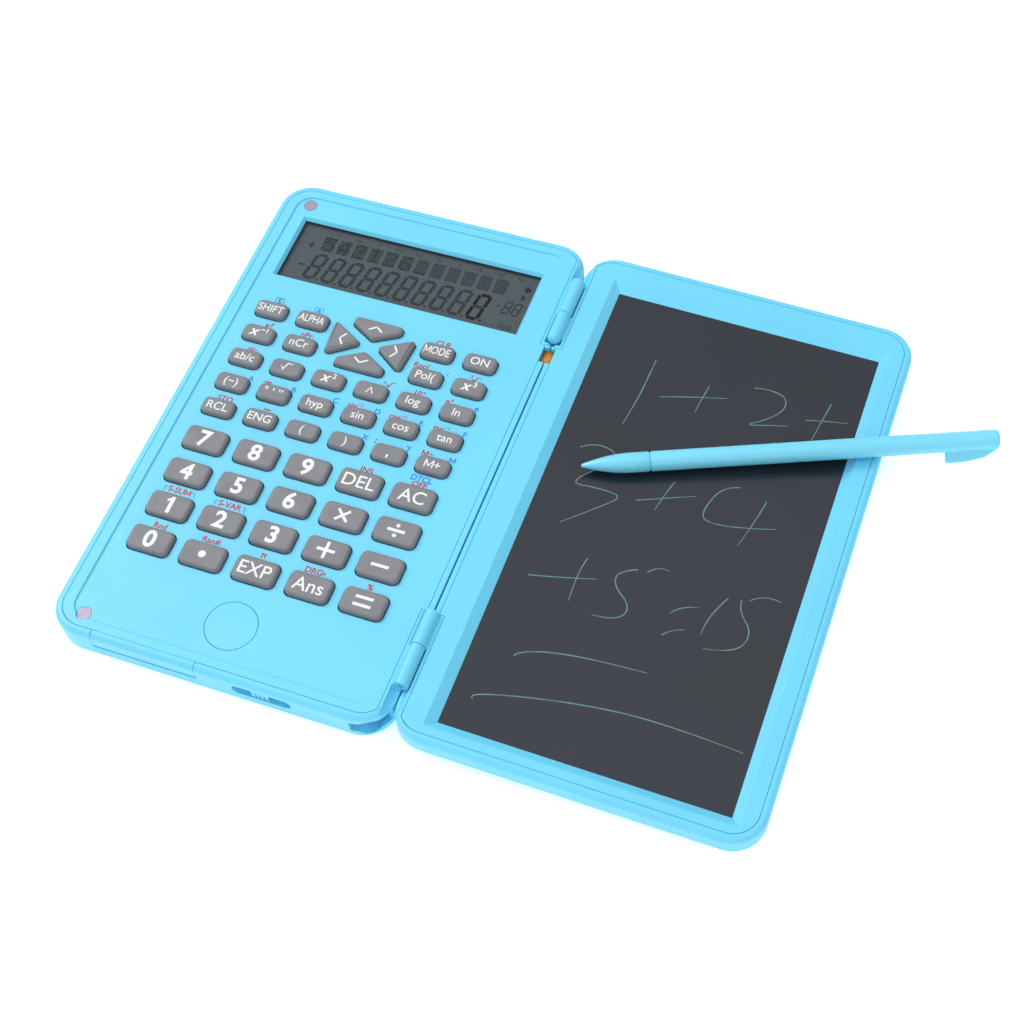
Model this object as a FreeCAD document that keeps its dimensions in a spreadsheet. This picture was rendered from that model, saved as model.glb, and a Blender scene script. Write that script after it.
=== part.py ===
"""Folding pocket calculator with a writing tablet, lying open with its stylus across the tablet.

Both halves are drawn about the hinge axis: x is the distance from that axis, negative on the
calculator and positive on the tablet, y runs up the spine and z is 0 at the axis.  The Placement
of each sub-part sets its half down: the calculator flat, the tablet drooping until its outer edge
meets the surface.  The origin of the assembly is the middle of the calculator's underside.
"""
import FreeCAD, Part
import os
import re
import Sketcher

SIZES = (
    ("half_width", 98.7, "hinge axis to the outer edge of a half"),
    ("half_length", 82.5, "middle of the spine to either end"),
    ("corner_round", 9.5, "outer corners seen from above"),
    ("rim_round", 1.6, "upper outer edge"),
    ("base_round", 1.2, "lower outer edge"),
    ("calculator_depth", 10.0, "calculator, underside to rim"),
    ("tablet_depth", 6.85, "tablet, underside to rim"),
    ("droop", 1.83, "degrees that the open tablet hangs below flat"),
    ("rim_drop", 0.1, "hinge axis down to the rims"),
    ("calculator_gap", 0.12, "hinge axis to the calculator's spine face"),
    ("tablet_gap", 0.38, "hinge axis to the tablet's spine face"),
    ("floor_thickness", 1.2, "bottom of both cases"),
    ("wall_thickness", 2.9, "side walls of both cases"),
    ("spine_ledge", 3.9, "hinge axis to the inside of a spine wall"),
    ("plate_inset", 2.3, "outer edge to the face plate or bezel"),
    ("spine_inset", 1.78, "hinge axis to the face plate between the hinges"),
    ("hinge_inset", 3.3, "hinge axis to the face plate beside the hinges"),
    ("plate_corner", 7.2, "outer corners of the face plate and bezel"),
    ("plate_thickness", 1.6, "face plate and bezel"),
    ("seat_play", 0.08, "gap round the face plate and bezel"),
    ("field_depth", 0.5, "sunken middle of the face plate"),
    ("field_margin", 5.4, "outer edge to the sunken field"),
    ("field_corner", 5.0, "corners of the sunken field"),
    ("field_round", 0.4, "foot of the field's edge"),
    ("upper_zone", 45.0, "start of the upper hinge's bay"),
    ("lower_zone", -47.0, "start of the lower hinge's bay"),
    ("upper_inner", 46.2, "inner end of the upper barrel"),
    ("upper_split", 56.8, "joint between the upper knuckles"),
    ("upper_outer", 69.5, "outer end of the upper barrel"),
    ("lower_inner", -47.2, "inner end of the lower barrel"),
    ("lower_split", -57.7, "joint between the lower knuckles"),
    ("lower_outer", -69.9, "outer end of the lower barrel"),
    ("barrel_radius", 2.1, "hinge barrels"),
    ("barrel_relief", 2.4, "hollow that a barrel turns in"),
    ("relief_play", 0.15, "hollow past a barrel's inner end"),
    ("knuckle_gap", 0.16, "gap between two knuckles"),
    ("pin_radius", 0.75, "hinge pins"),
    ("pin_play", 0.05, "pin in the tablet's knuckle, on the radius"),
    ("pin_end", 0.6, "pin end below the barrel's end"),
    ("pin_reach", 2.6, "barrel's inner end to the pin's inner end"),
    ("flex_low", 39.0, "lower edge of the cable window"),
    ("flex_high", 44.2, "upper edge of the cable window"),
    ("flex_depth", 3.6, "depth of the cable window"),
    ("flex_width", 5.0, "flat cable between the boards"),
    ("flex_thickness", 0.25, "flat cable"),
    ("flex_reach", 4.3, "cable window into both cases"),
    ("window_near", 11.68, "hinge axis to the display window"),
    ("window_far", 88.48, "hinge axis to the window's far side"),
    ("window_low", 47.2, "display window"),
    ("window_high", 69.33, "display window"),
    ("window_flare", 0.9, "slope round the display window"),
    ("screen_near", 12.36, "hinge axis to the writing area"),
    ("screen_far", 89.97, "hinge axis to the writing area's far side"),
    ("screen_low", -75.37, "writing area"),
    ("screen_high", 70.61, "writing area"),
    ("bevel_near", 9.6, "hinge axis to the bezel's slope"),
    ("bevel_far", 92.4, "hinge axis to the far slope"),
    ("bevel_low", -77.8, "slope below the writing area"),
    ("bevel_high", 75.1, "slope above the writing area"),
    ("key_far", 88.2, "hinge axis to the first key column"),
    ("small_width", 9.7, "function keys"),
    ("small_height", 5.5, "function keys"),
    ("small_pitch", 13.24, "function key columns"),
    ("small_step", 9.27, "function key rows"),
    ("small_top", 32.9, "middle of the first function row"),
    ("large_width", 12.5, "number keys"),
    ("large_height", 7.6, "number keys"),
    ("large_pitch", 15.85, "number key columns"),
    ("large_step", 11.57, "number key rows"),
    ("large_top", -15.62, "middle of the first number row"),
    ("key_corner", 1.8, "key corners seen from above"),
    ("cursor_corner", 1.1, "cursor key corners seen from above"),
    ("key_edge", 0.9, "upper edge of the keys"),
    ("key_gap", 0.3, "gap round a key"),
    ("key_rise", 1.0, "key tops above the hinge axis"),
    ("key_foot", 2.7, "underside of a key's flange below the hinge axis"),
    ("flange_top", 1.85, "top of a key's flange below the hinge axis"),
    ("flange_width", 0.6, "flange beyond the key"),
    ("cursor_far", 50.4, "hinge axis to the middle of the cursor keys"),
    ("cursor_middle", 29.0, "middle of the cursor keys"),
    ("button_far", 49.7, "hinge axis to the erase button"),
    ("button_low", 67.3, "erase button below the middle"),
    ("button_radius", 7.2, "erase button"),
    ("button_flange", 8.1, "erase button's flange"),
    ("button_gap", 0.12, "gap round the erase button"),
    ("magnet_far", 89.2, "hinge axis to the magnets"),
    ("magnet_high", 74.7, "upper magnet"),
    ("magnet_low", -76.3, "lower magnet"),
    ("magnet_radius", 2.1, "closure magnets"),
    ("magnet_depth", 0.9, "thickness of the magnets"),
    ("board_top", 6.4, "top of the main board below the hinge axis"),
    ("board_thickness", 1.0, "main board"),
    ("board_far", 90.0, "hinge axis to the board's far edge"),
    ("board_near", 10.2, "hinge axis to the board's near edge"),
    ("mat_thickness", 1.0, "rubber mat between its domes"),
    ("dome_foot", 2.6, "foot of a rubber dome"),
    ("dome_head", 1.8, "head of a rubber dome"),
    ("dome_play", 0.05, "gap between dome and key"),
    ("drawer_far", 84.5, "hinge axis to the battery drawer's far side"),
    ("drawer_near", 54.0, "hinge axis to the drawer's near side"),
    ("drawer_base", 5.4, "underside of the drawer below the hinge axis"),
    ("drawer_play", 0.1, "gap round the drawer's front"),
    ("groove_depth", 0.6, "fingernail groove under the drawer's front"),
    ("groove_height", 0.7, "fingernail groove under the drawer's front"),
    ("drawer_end", 58.0, "inner end of the drawer's tray"),
    ("tray_margin", 4.0, "drawer front beyond its tray"),
    ("tray_top", 2.3, "top of the tray below the hinge axis"),
    ("cell_radius", 10.0, "coin cell"),
    ("cell_depth", 2.5, "coin cell"),
    ("cell_low", 68.4, "middle of the coin cell below the middle"),
    ("slot_far", 43.3, "hinge axis to the lock slot's far end"),
    ("slot_near", 26.3, "hinge axis to the lock slot's near end"),
    ("slot_top", 2.6, "top of the lock slot below the hinge axis"),
    ("slot_height", 3.6, "lock slot"),
    ("knob_far", 35.3, "hinge axis to the middle of the lock knob"),
    ("knob_width", 5.0, "lock knob"),
    ("knob_low", 6.0, "underside of the lock knob below the hinge axis"),
    ("knob_top", 2.8, "top of the lock knob below the hinge axis"),
    ("skirt_half", 12.6, "half length of the lock slider's skirt"),
    ("skirt_low", 6.7, "underside of the skirt below the hinge axis"),
    ("skirt_top", 2.1, "top of the skirt below the hinge axis"),
    ("skirt_thickness", 0.8, "lock slider's skirt"),
    ("rib_width", 0.4, "grooves between the knob's ribs"),
    ("rib_pitch", 1.2, "grooves between the knob's ribs"),
    ("garage_far", 4.8, "hinge axis to the stylus garage"),
    ("garage_low", 5.3, "stylus garage below the hinge axis"),
    ("garage_bore", 3.1, "inside of the stylus garage"),
    ("garage_wall", 0.4, "wall of the stylus sleeve"),
    ("garage_mouth", 75.5, "sleeve's open end below the middle"),
    ("garage_end", 38.0, "sleeve's closed end"),
    ("finger_far", 9.8, "hinge axis to the finger slot's far end"),
    ("finger_low", 7.2, "underside of the finger slot below the hinge axis"),
    ("finger_top", 3.0, "top of the finger slot below the hinge axis"),
    ("screw_head", 1.7, "radius of a screw head"),
    ("screw_shank", 0.9, "radius of a screw shank"),
    ("head_depth", 1.0, "height of a screw head"),
    ("boss_radius", 2.1, "screw bosses"),
    ("boss_split", 4.3, "meeting of the two bosses below the hinge axis"),
    ("screen_margin", 1.3, "writing screen under the bezel"),
    ("screen_thickness", 0.7, "writing screen"),
    ("backing_thickness", 1.0, "plate behind the writing screen"),
    ("stylus_radius", 2.8, "stylus barrel"),
    ("stylus_length", 114.0, "whole stylus"),
    ("tip_length", 19.0, "stylus tip to the groove"),
    ("taper_length", 13.0, "tapered stretch of the tip"),
    ("nose_radius", 0.6, "rounded nose of the tip"),
    ("spigot_radius", 1.6, "tip's spigot in the barrel"),
    ("spigot_length", 4.0, "tip's spigot in the barrel"),
    ("fin_length", 14.6, "lifting fin at the tail"),
    ("fin_depth", 5.8, "stylus axis to the fin's edge"),
    ("fin_thickness", 2.4, "lifting fin"),
    ("touch_far", 21.9, "hinge axis to the stylus nose"),
    ("touch_high", 8.4, "stylus nose above the middle of the spine"),
    ("stylus_turn", 22.3, "degrees that the stylus turns up the spine"),
    ("stylus_lift", 1.45, "degrees that the stylus rises to its tail"),
    ("stylus_roll", 40.0, "degrees that the fin leans towards the user"),
    ("stylus_rest", 0.12, "gap between the stylus and what it lies on"),
)

CALCULATOR = -1
TABLET = 1
RIM = "-rim_drop"
PLATE_UNDER = "-(rim_drop + plate_thickness)"
CALCULATOR_BASE = "-(rim_drop + calculator_depth)"
TABLET_BASE = "-(rim_drop + tablet_depth)"

# Screws, as distances from the hinge axis and places along the spine.
CALCULATOR_SCREWS = ((92.7, 66.0), (92.7, 2.0), (92.7, -67.0), (12.6, 76.6), (12.6, -70.0))
TABLET_SCREWS = ((93.7, 50.0), (93.7, -50.0), (7.2, 72.0), (7.2, -72.0))

SMALL_KEYS = ("shift", "alpha", None, None, "mode", "on")
FUNCTION_ROWS = ((0, 1, 4, 5), (0, 1, 2, 3, 4, 5), (0, 1, 2, 3, 4, 5), (0, 1, 2, 3, 4, 5))
LARGE_KEYS = (
    ("7", "8", "9", "delete", "clear"),
    ("4", "5", "6", "times", "divide"),
    ("1", "2", "3", "plus", "minus"),
    ("0", "point", "exponent", "answer", "equals"),
)

# Cursor keys about the middle of their cluster, before their corners are rounded outwards.
CURSOR_UP = ((-6.4, 8.0), (6.4, 8.0), (6.4, 7.1), (0.0, 3.5), (-6.4, 7.1))
CURSOR_LEFT = ((-11.6, 4.1), (-4.5, 0.1), (-10.9, -4.3))

document = FreeCAD.newDocument("FoldingCalculator")
sizes = document.addObject("Spreadsheet::Sheet", "Sizes")
for row, (alias, number, note) in enumerate(SIZES, start=1):
    sizes.set("A%d" % row, note)
    sizes.set("B%d" % row, str(number))
    sizes.setAlias("B%d" % row, alias)
workings = document.addObject("Spreadsheet::Sheet", "Workings")
document.recompute()
subparts = []


def formula(text):
    """Spell a formula on the sheet's aliases for the expression engine."""
    return re.sub(r"(?<![0-9])\b(?!sin\b)([a-z]\w+)\b", r"Sizes.\1", text)


def measured(text):
    """The number that a formula gives now."""
    workings.set("A1", "=" + formula(text))
    workings.recompute()
    return float(workings.get("A1"))


def span(side, near, far):
    """The x range between two distances from the hinge axis."""
    if side == TABLET:
        return near, far
    return "-(%s)" % far, "-(%s)" % near


def both(text):
    """A y range centred on the spine's middle."""
    return "-(%s)" % text, text


def box(name, x, y, z, kind="Part::Box", owner=document):
    """A box between two formulas on each axis."""
    item = owner.addObject(kind, name) if owner is document else owner.newObject(kind, name)
    for size, axis, (low, high) in (("Length", "x", x), ("Width", "y", y), ("Height", "z", z)):
        item.setExpression(size, formula("(%s) - (%s)" % (high, low)))
        item.setExpression("Placement.Base." + axis, formula(low))
    return item


def post(name, radius, x, y, z):
    """An upright cylinder."""
    item = document.addObject("Part::Cylinder", name)
    item.setExpression("Radius", formula(radius))
    item.setExpression("Height", formula("(%s) - (%s)" % (z[1], z[0])))
    for axis, low in (("x", x), ("y", y), ("z", z[0])):
        item.setExpression("Placement.Base." + axis, formula(low))
    return item


def rod(name, radius, y, x="0", z="0"):
    """A cylinder that runs along the spine."""
    item = document.addObject("Part::Cylinder", name)
    item.Placement = FreeCAD.Placement(FreeCAD.Vector(), FreeCAD.Rotation(FreeCAD.Vector(1, 0, 0), -90))
    item.setExpression("Radius", formula(radius))
    item.setExpression("Height", formula("(%s) - (%s)" % (y[1], y[0])))
    for axis, low in (("x", x), ("y", y[0]), ("z", z)):
        item.setExpression("Placement.Base." + axis, formula(low))
    return item


def rounded(body, base, name, radius, wanted):
    """Round the wanted edges of a body's last feature."""
    document.recompute()
    edges = ["Edge%d" % i for i, edge in enumerate(base.Shape.Edges, start=1) if wanted(edge.BoundBox)]
    fillet = body.newObject("PartDesign::Fillet", name)
    fillet.Base = (base, edges)
    fillet.setExpression("Radius", formula(radius))
    return fillet


def block(name, x, y, z, corner, top=None, bottom=None):
    """A body: one box with rounded corners and, where asked, rounded upper or lower edges."""
    body = document.addObject("PartDesign::Body", name)
    last = box(name + "Box", x, y, z, "PartDesign::AdditiveBox", body)
    last = rounded(body, last, name + "Corners", corner, lambda edge: edge.XLength + edge.YLength < 0.001)
    document.recompute()
    lowest, highest = last.Shape.BoundBox.ZMin, last.Shape.BoundBox.ZMax
    if top:
        last = rounded(body, last, name + "Top", top, lambda edge: edge.ZMin > highest - 0.001)
    if bottom:
        last = rounded(body, last, name + "Bottom", bottom, lambda edge: edge.ZMax < lowest + 0.001)
    return body


def join(name, pieces):
    """Pieces fused into one."""
    item = document.addObject("Part::MultiFuse", name)
    item.Shapes = list(pieces)
    return item


def group(name, pieces):
    """Separate solids that share one object."""
    item = document.addObject("Part::Compound", name)
    item.Links = list(pieces)
    return item


def cut(name, base, tools):
    """A base with every tool taken out of it."""
    item = document.addObject("Part::Cut", name)
    item.Base = base
    item.Tool = tools[0] if len(tools) == 1 else group(name + "Tools", tools)
    return item


def overlap(name, first, second):
    """What two pieces share."""
    item = document.addObject("Part::Common", name)
    item.Base = first
    item.Tool = second
    return item


def funnel(name, x, y, z, wide_x, wide_y):
    """A four-sided frustum: x by y at its foot, wide_x by wide_y at its head."""
    item = document.addObject("Part::Wedge", name)
    item.Placement = FreeCAD.Placement(FreeCAD.Vector(), FreeCAD.Rotation(FreeCAD.Vector(1, 0, 0), 90))
    for low, high, (start, end) in (
        ("Xmin", "Xmax", x),
        ("X2min", "X2max", wide_x),
        ("Ymin", "Ymax", z),
        ("Zmin", "Zmax", ("-(%s)" % y[1], "-(%s)" % y[0])),
        ("Z2min", "Z2max", ("-(%s)" % wide_y[1], "-(%s)" % wide_y[0])),
    ):
        item.setExpression(low, formula(start))
        item.setExpression(high, formula(end))
    return item


def outline(sketch, corners):
    """A closed outline of straight lines, each corner held at its two formulas."""
    places = [FreeCAD.Vector(measured(x), measured(y), 0) for x, y in corners]
    for index, place in enumerate(places):
        sketch.addGeometry(Part.LineSegment(place, places[(index + 1) % len(places)]))
    for index, (corner, place) in enumerate(zip(corners, places)):
        before = index - 1 if index else len(places) - 1
        sketch.addConstraint(Sketcher.Constraint("Coincident", before, 2, index, 1))
        for kind, axis, text, value in (
            ("DistanceX", -2, corner[0], place.x),
            ("DistanceY", -1, corner[1], place.y),
        ):
            if abs(value) < 1e-6:
                sketch.addConstraint(Sketcher.Constraint("PointOnObject", index, 1, axis))
                continue
            name = "%s%d" % (kind, index)
            number = sketch.addConstraint(Sketcher.Constraint(kind, -1, 1, index, 1, value))
            sketch.renameConstraint(number, name)
            sketch.setExpression("Constraints." + name, formula(text))


def origin_plane(body, role):
    """One of a body's own origin planes."""
    return next(item for item in body.Origin.OriginFeatures if item.Role == role)


def sub_part(item, label, half):
    """Name a finished sub-part and set it down in its half."""
    if item.TypeId in ("Part::Box", "Part::Cylinder"):
        item = group(item.Name + "Piece", [item])
    item.Label = label
    if half == TABLET:
        turn = FreeCAD.Rotation(FreeCAD.Vector(0, 1, 0), sizes.droop)
        item.Placement = FreeCAD.Placement(FreeCAD.Vector(), turn)
        item.setExpression("Placement.Rotation.Angle", formula("droop"))
    item.setExpression("Placement.Base.x", formula("half_width / 2"))
    item.setExpression("Placement.Base.z", formula("calculator_depth + rim_drop"))
    subparts.append(item)


# ---------------------------------------------------------------- cases, plate and bezel


def plate_outline(name, side, play, z):
    """The face plate's or bezel's outline, narrower beside the hinges, grown by some play."""
    slab = block(
        name + "Slab",
        span(side, "spine_inset - %s" % play, "half_width - plate_inset + %s" % play),
        both("half_length - plate_inset + %s" % play),
        z,
        "plate_corner",
    )
    reach = span(side, "0", "hinge_inset - %s" % play)
    upper = box(name + "UpperBay", reach, ("upper_zone + %s" % play, "half_length"), ("-9", "9"))
    lower = box(name + "LowerBay", reach, ("-half_length", "lower_zone - %s" % play), ("-9", "9"))
    return cut(name + "Outline", slab, [upper, lower])


def screws(name, side, places, base):
    """Case screws: a flat head sunk in the case and a shank up into the plate's boss."""
    pieces = []
    for index, (far, high) in enumerate(places):
        x, y = str(side * far), str(high)
        head_z = (base + " + 0.1", base + " + 0.1 + head_depth")
        head = post("%sHead%d" % (name, index), "screw_head", x, y, head_z)
        shank_z = (base + " + head_depth", "-(rim_drop + 2.2)")
        shank = post("%sShank%d" % (name, index), "screw_shank", x, y, shank_z)
        pieces.append(join("%sScrew%d" % (name, index), [head, shank]))
    return group(name + "Screws", pieces)


def bosses(name, side, places, z):
    """Round bosses for the case screws."""
    return [
        post("%sBoss%d" % (name, index), "boss_radius", str(side * far), str(high), z)
        for index, (far, high) in enumerate(places)
    ]


def screw_holes(name, side, places, base):
    """Clearance and head recesses in a case."""
    tools = []
    for index, (far, high) in enumerate(places):
        x, y = str(side * far), str(high)
        clear_z = (base + " - 1", "-boss_split + 1")
        tools.append(post("%sClear%d" % (name, index), "screw_shank + 0.1", x, y, clear_z))
        sink_z = (base + " - 1", base + " + 0.1 + head_depth")
        tools.append(post("%sSink%d" % (name, index), "screw_head + 0.15", x, y, sink_z))
    return tools


def pilot_holes(name, side, places):
    """Holes in the plate's bosses that the screws thread into."""
    depth = ("-9", "-(rim_drop + 2.2)")
    return [
        post("%sPilot%d" % (name, index), "screw_shank", str(side * far), str(high), depth)
        for index, (far, high) in enumerate(places)
    ]


def case(name, side, depth, gap, knuckles, bore, places, extra_cuts, extra_pieces):
    """One outer case: tray with a rim, a seat for its plate, its knuckles and its screw bosses."""
    base = "-(rim_drop + %s)" % depth
    floor = base + " + floor_thickness"
    outer = block(
        name + "Outer",
        span(side, gap, "half_width"),
        both("half_length"),
        (base, RIM),
        "corner_round",
        "rim_round",
        "base_round",
    )
    ledge = span(side, gap, "spine_ledge")
    strip = box(name + "Strip", ledge, ("lower_zone", "upper_zone"), ("-4", RIM))
    cavity = block(
        name + "Cavity",
        span(side, "spine_ledge", "half_width - wall_thickness"),
        both("half_length - wall_thickness"),
        (floor, PLATE_UNDER + " + 0.1"),
        "corner_round - wall_thickness",
    )
    seat = plate_outline(name + "Seat", side, "seat_play", (PLATE_UNDER, "1"))
    upper = rod(name + "UpperRelief", "barrel_relief", ("upper_inner - relief_play", "half_length + 1"))
    lower = rod(name + "LowerRelief", "barrel_relief", ("-half_length - 1", "lower_inner + relief_play"))
    window = span(side, "-0.5", "flex_reach")
    notch = box(name + "Notch", window, ("flex_low", "flex_high"), ("-flex_depth", "1"))
    hollowed = cut(name + "Hollowed", join(name + "Solid", [outer, strip]), [cavity, seat])
    opened = cut(name + "Opened", hollowed, [upper, lower, notch] + extra_cuts)
    webs = [
        box("%sWeb%d" % (name, index), span(side, gap, "barrel_relief + 0.2"), reach, ("-2.6", RIM))
        for index, (reach, barrel) in enumerate(knuckles)
    ]
    barrels = [piece for reach, barrel in knuckles for piece in barrel]
    stands = bosses(name, side, places, (floor + " - 0.1", "-boss_split"))
    built = join(name + "Built", [opened] + webs + barrels + stands + extra_pieces)
    return outer, cut(name, built, bore + screw_holes(name, side, places, base))


def calculator_knuckles():
    """Outer halves of both barrels, with flat ends."""
    upper = ("upper_split + knuckle_gap / 2", "upper_outer")
    lower = ("lower_outer", "lower_split - knuckle_gap / 2")
    return [
        (upper, [rod("UpperFixedBarrel", "barrel_radius", upper)]),
        (lower, [rod("LowerFixedBarrel", "barrel_radius", lower)]),
    ]


def domed_end(name, y):
    """The rounded inner end of a barrel."""
    item = document.addObject("Part::Sphere", name)
    item.setExpression("Radius", formula("barrel_radius"))
    item.setExpression("Placement.Base.y", formula(y))
    return item


def tablet_knuckles():
    """Inner halves of both barrels, the upper one with a rounded end."""
    upper = ("upper_inner + barrel_radius", "upper_split - knuckle_gap / 2")
    lower = ("lower_split + knuckle_gap / 2", "lower_inner")
    return [
        (upper, [rod("UpperMovingBarrel", "barrel_radius", upper), domed_end("UpperDome", upper[0])]),
        (lower, [rod("LowerMovingBarrel", "barrel_radius", lower)]),
    ]


UPPER_PIN = ("upper_inner + pin_reach", "upper_outer - pin_end")
LOWER_PIN = ("lower_outer + pin_end", "lower_inner - pin_reach")


def hinge_pins():
    """Two steel pins, tight in the calculator's knuckles."""
    pins = [rod("UpperPin", "pin_radius", UPPER_PIN), rod("LowerPin", "pin_radius", LOWER_PIN)]
    sub_part(group("HingePins", pins), "hinge_pins", CALCULATOR)


def tablet_shell():
    """The tablet's back case."""
    radius = "pin_radius + pin_play"
    bores = [
        rod("UpperRunningBore", radius, ("upper_inner + pin_reach - 0.2", "upper_split")),
        rod("LowerRunningBore", radius, ("lower_split", "lower_inner - pin_reach + 0.2")),
    ]
    knuckles = tablet_knuckles()
    shell = case(
        "TabletCase", TABLET, "tablet_depth", "tablet_gap", knuckles, bores, TABLET_SCREWS, [], []
    )[1]
    sub_part(shell, "tablet_case", TABLET)


def tablet_bezel():
    """The frame round the writing screen, sloping down to it."""
    slab = plate_outline("Bezel", TABLET, "0", (PLATE_UNDER, RIM))
    opening = funnel(
        "BezelOpening",
        ("screen_near", "screen_far"),
        ("screen_low", "screen_high"),
        (PLATE_UNDER + " - 0.01", RIM + " + 0.01"),
        ("bevel_near", "bevel_far"),
        ("bevel_low", "bevel_high"),
    )
    stands = bosses("Bezel", TABLET, TABLET_SCREWS, ("-boss_split", PLATE_UNDER + " + 0.1"))
    framed = join("BezelFramed", [cut("BezelOpened", slab, [opening])] + stands)
    bezel = cut("TabletBezel", framed, pilot_holes("Bezel", TABLET, TABLET_SCREWS))
    sub_part(bezel, "tablet_bezel", TABLET)


def tablet_inside():
    """Writing screen, its backing, the drive board and the closing plates."""
    near, far = "screen_near - screen_margin", "screen_far + screen_margin"
    low, high = "screen_low - screen_margin", "screen_high + screen_margin"
    under = PLATE_UNDER + " - screen_thickness"
    screen = box("Screen", (near, far), (low, high), (under, PLATE_UNDER))
    sub_part(screen, "writing_screen", TABLET)
    backing = box("Backing", (near, far), (low, high), (under + " - backing_thickness", under))
    sub_part(backing, "screen_backing", TABLET)
    board = box("DriveBoard", ("7.5", "20"), ("30", "52"), (TABLET_BASE + " + floor_thickness", "-4.8"))
    sub_part(board, "tablet_board", TABLET)
    top = under + " - backing_thickness"
    plates = [
        post("Catch%d" % index, "magnet_radius + 0.6", "magnet_far", high_or_low, (top + " - 0.8", top))
        for index, high_or_low in enumerate(("magnet_high - 4.5", "magnet_low + 3.5"))
    ]
    sub_part(group("CatchPlates", plates), "catch_plates", TABLET)
    sub_part(screws("Tablet", TABLET, TABLET_SCREWS, TABLET_BASE), "tablet_screws", TABLET)


# ---------------------------------------------------------------- calculator case and its fittings

DRAWER_X = span(CALCULATOR, "drawer_near", "drawer_far")
DRAWER_GAP_X = span(CALCULATOR, "drawer_near - drawer_play", "drawer_far + drawer_play")
FRONT_Y = ("-half_length - 1", "-half_length + plate_inset - 0.02")
GARAGE = {"x": "-garage_far", "z": "-garage_low"}


def lock_slot():
    """The long round-ended slot that the lock knob slides in."""
    middle = "-(slot_top + slot_height / 2)"
    through = ("-half_length - 1", "-half_length + wall_thickness + 0.1")
    ends = [
        rod("SlotEnd%d" % index, "slot_height / 2", through, x, middle)
        for index, x in enumerate(("-slot_far + slot_height / 2", "-slot_near - slot_height / 2"))
    ]
    straight = box(
        "SlotStraight",
        ("-slot_far + slot_height / 2", "-slot_near - slot_height / 2"),
        through,
        ("-(slot_top + slot_height)", "-slot_top"),
    )
    return ends + [straight]


def calculator_shell():
    """The calculator's lower case, with the drawer bay, the lock slot and the stylus garage."""
    drawer_bay = box(
        "DrawerBay",
        DRAWER_GAP_X,
        ("-half_length - 1", "-half_length + wall_thickness + 0.1"),
        ("-drawer_base - drawer_play", "1"),
    )
    sleeve_y = ("-garage_mouth", "garage_end")
    sleeve_bore = rod("SleeveBore", "garage_bore + garage_wall", sleeve_y, **GARAGE)
    mouth = rod("GarageMouth", "garage_bore", ("-half_length - 1", "-garage_mouth + 0.1"), **GARAGE)
    finger_slot = box(
        "FingerSlot",
        ("-finger_far", "1"),
        ("-half_length - 1", "-garage_mouth"),
        ("-finger_low", "-finger_top"),
    )
    shell_corner = box(
        "GarageCorner",
        ("-11.4", "-3.8"),
        ("-half_length + wall_thickness - 0.1", "-garage_mouth + 1.5"),
        (CALCULATOR_BASE + " + floor_thickness - 0.1", PLATE_UNDER),
    )
    post_z = (CALCULATOR_BASE + " + 1", "-board_top - board_thickness")
    posts = [
        post("BoardPost%d" % index, "1.5", x, y, post_z)
        for index, (x, y) in enumerate((("-86", "40"), ("-14", "40"), ("-86", "-52"), ("-14", "-52")))
    ]
    bores = [
        rod("UpperTightBore", "pin_radius", ("upper_split", "upper_outer + 1")),
        rod("LowerTightBore", "pin_radius", ("lower_outer - 1", "lower_split")),
        sleeve_bore,
        mouth,
        finger_slot,
    ]
    outer, shell = case(
        "CalculatorCase",
        CALCULATOR,
        "calculator_depth",
        "calculator_gap",
        calculator_knuckles(),
        bores,
        CALCULATOR_SCREWS,
        [drawer_bay] + lock_slot(),
        [shell_corner] + posts,
    )
    sub_part(shell, "lower_case", CALCULATOR)
    return outer


def stylus_sleeve():
    """The tube that holds the stylus along the spine, closed at its inner end."""
    tube = rod("SleeveTube", "garage_bore + garage_wall", ("-garage_mouth", "garage_end"), **GARAGE)
    bore = rod("SleeveHole", "garage_bore", ("-garage_mouth - 1", "garage_end - 1"), **GARAGE)
    sub_part(cut("Sleeve", tube, [bore]), "stylus_sleeve", CALCULATOR)


def battery_drawer(outer):
    """The drawer that slides out of the lower end: a piece of the wall, and a tray behind it."""
    front_block = box("FrontBlock", DRAWER_X, FRONT_Y, ("-drawer_base", "1"))
    front = overlap("Front", outer, front_block)
    tray_x = span(CALCULATOR, "drawer_near + tray_margin", "drawer_far - tray_margin")
    tray = box("Tray", tray_x, (FRONT_Y[1] + " - 0.1", "-drawer_end"), ("-drawer_base", "-tray_top"))
    middle = "-(drawer_near + drawer_far) / 2"
    seat = "-drawer_base + 0.5"
    recess = post("CellRecess", "cell_radius + 0.1", middle, "-cell_low", (seat, "1"))
    groove = box(
        "NailGroove",
        DRAWER_X,
        ("-half_length - 1", "-half_length + groove_depth"),
        ("-drawer_base - 1", "-drawer_base + groove_height"),
    )
    drawer = cut("Drawer", join("DrawerSolid", [front, tray]), [recess, groove])
    sub_part(drawer, "battery_drawer", CALCULATOR)
    cell = post("Cell", "cell_radius", middle, "-cell_low", (seat, seat + " + cell_depth"))
    sub_part(cell, "coin_cell", CALCULATOR)


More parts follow.
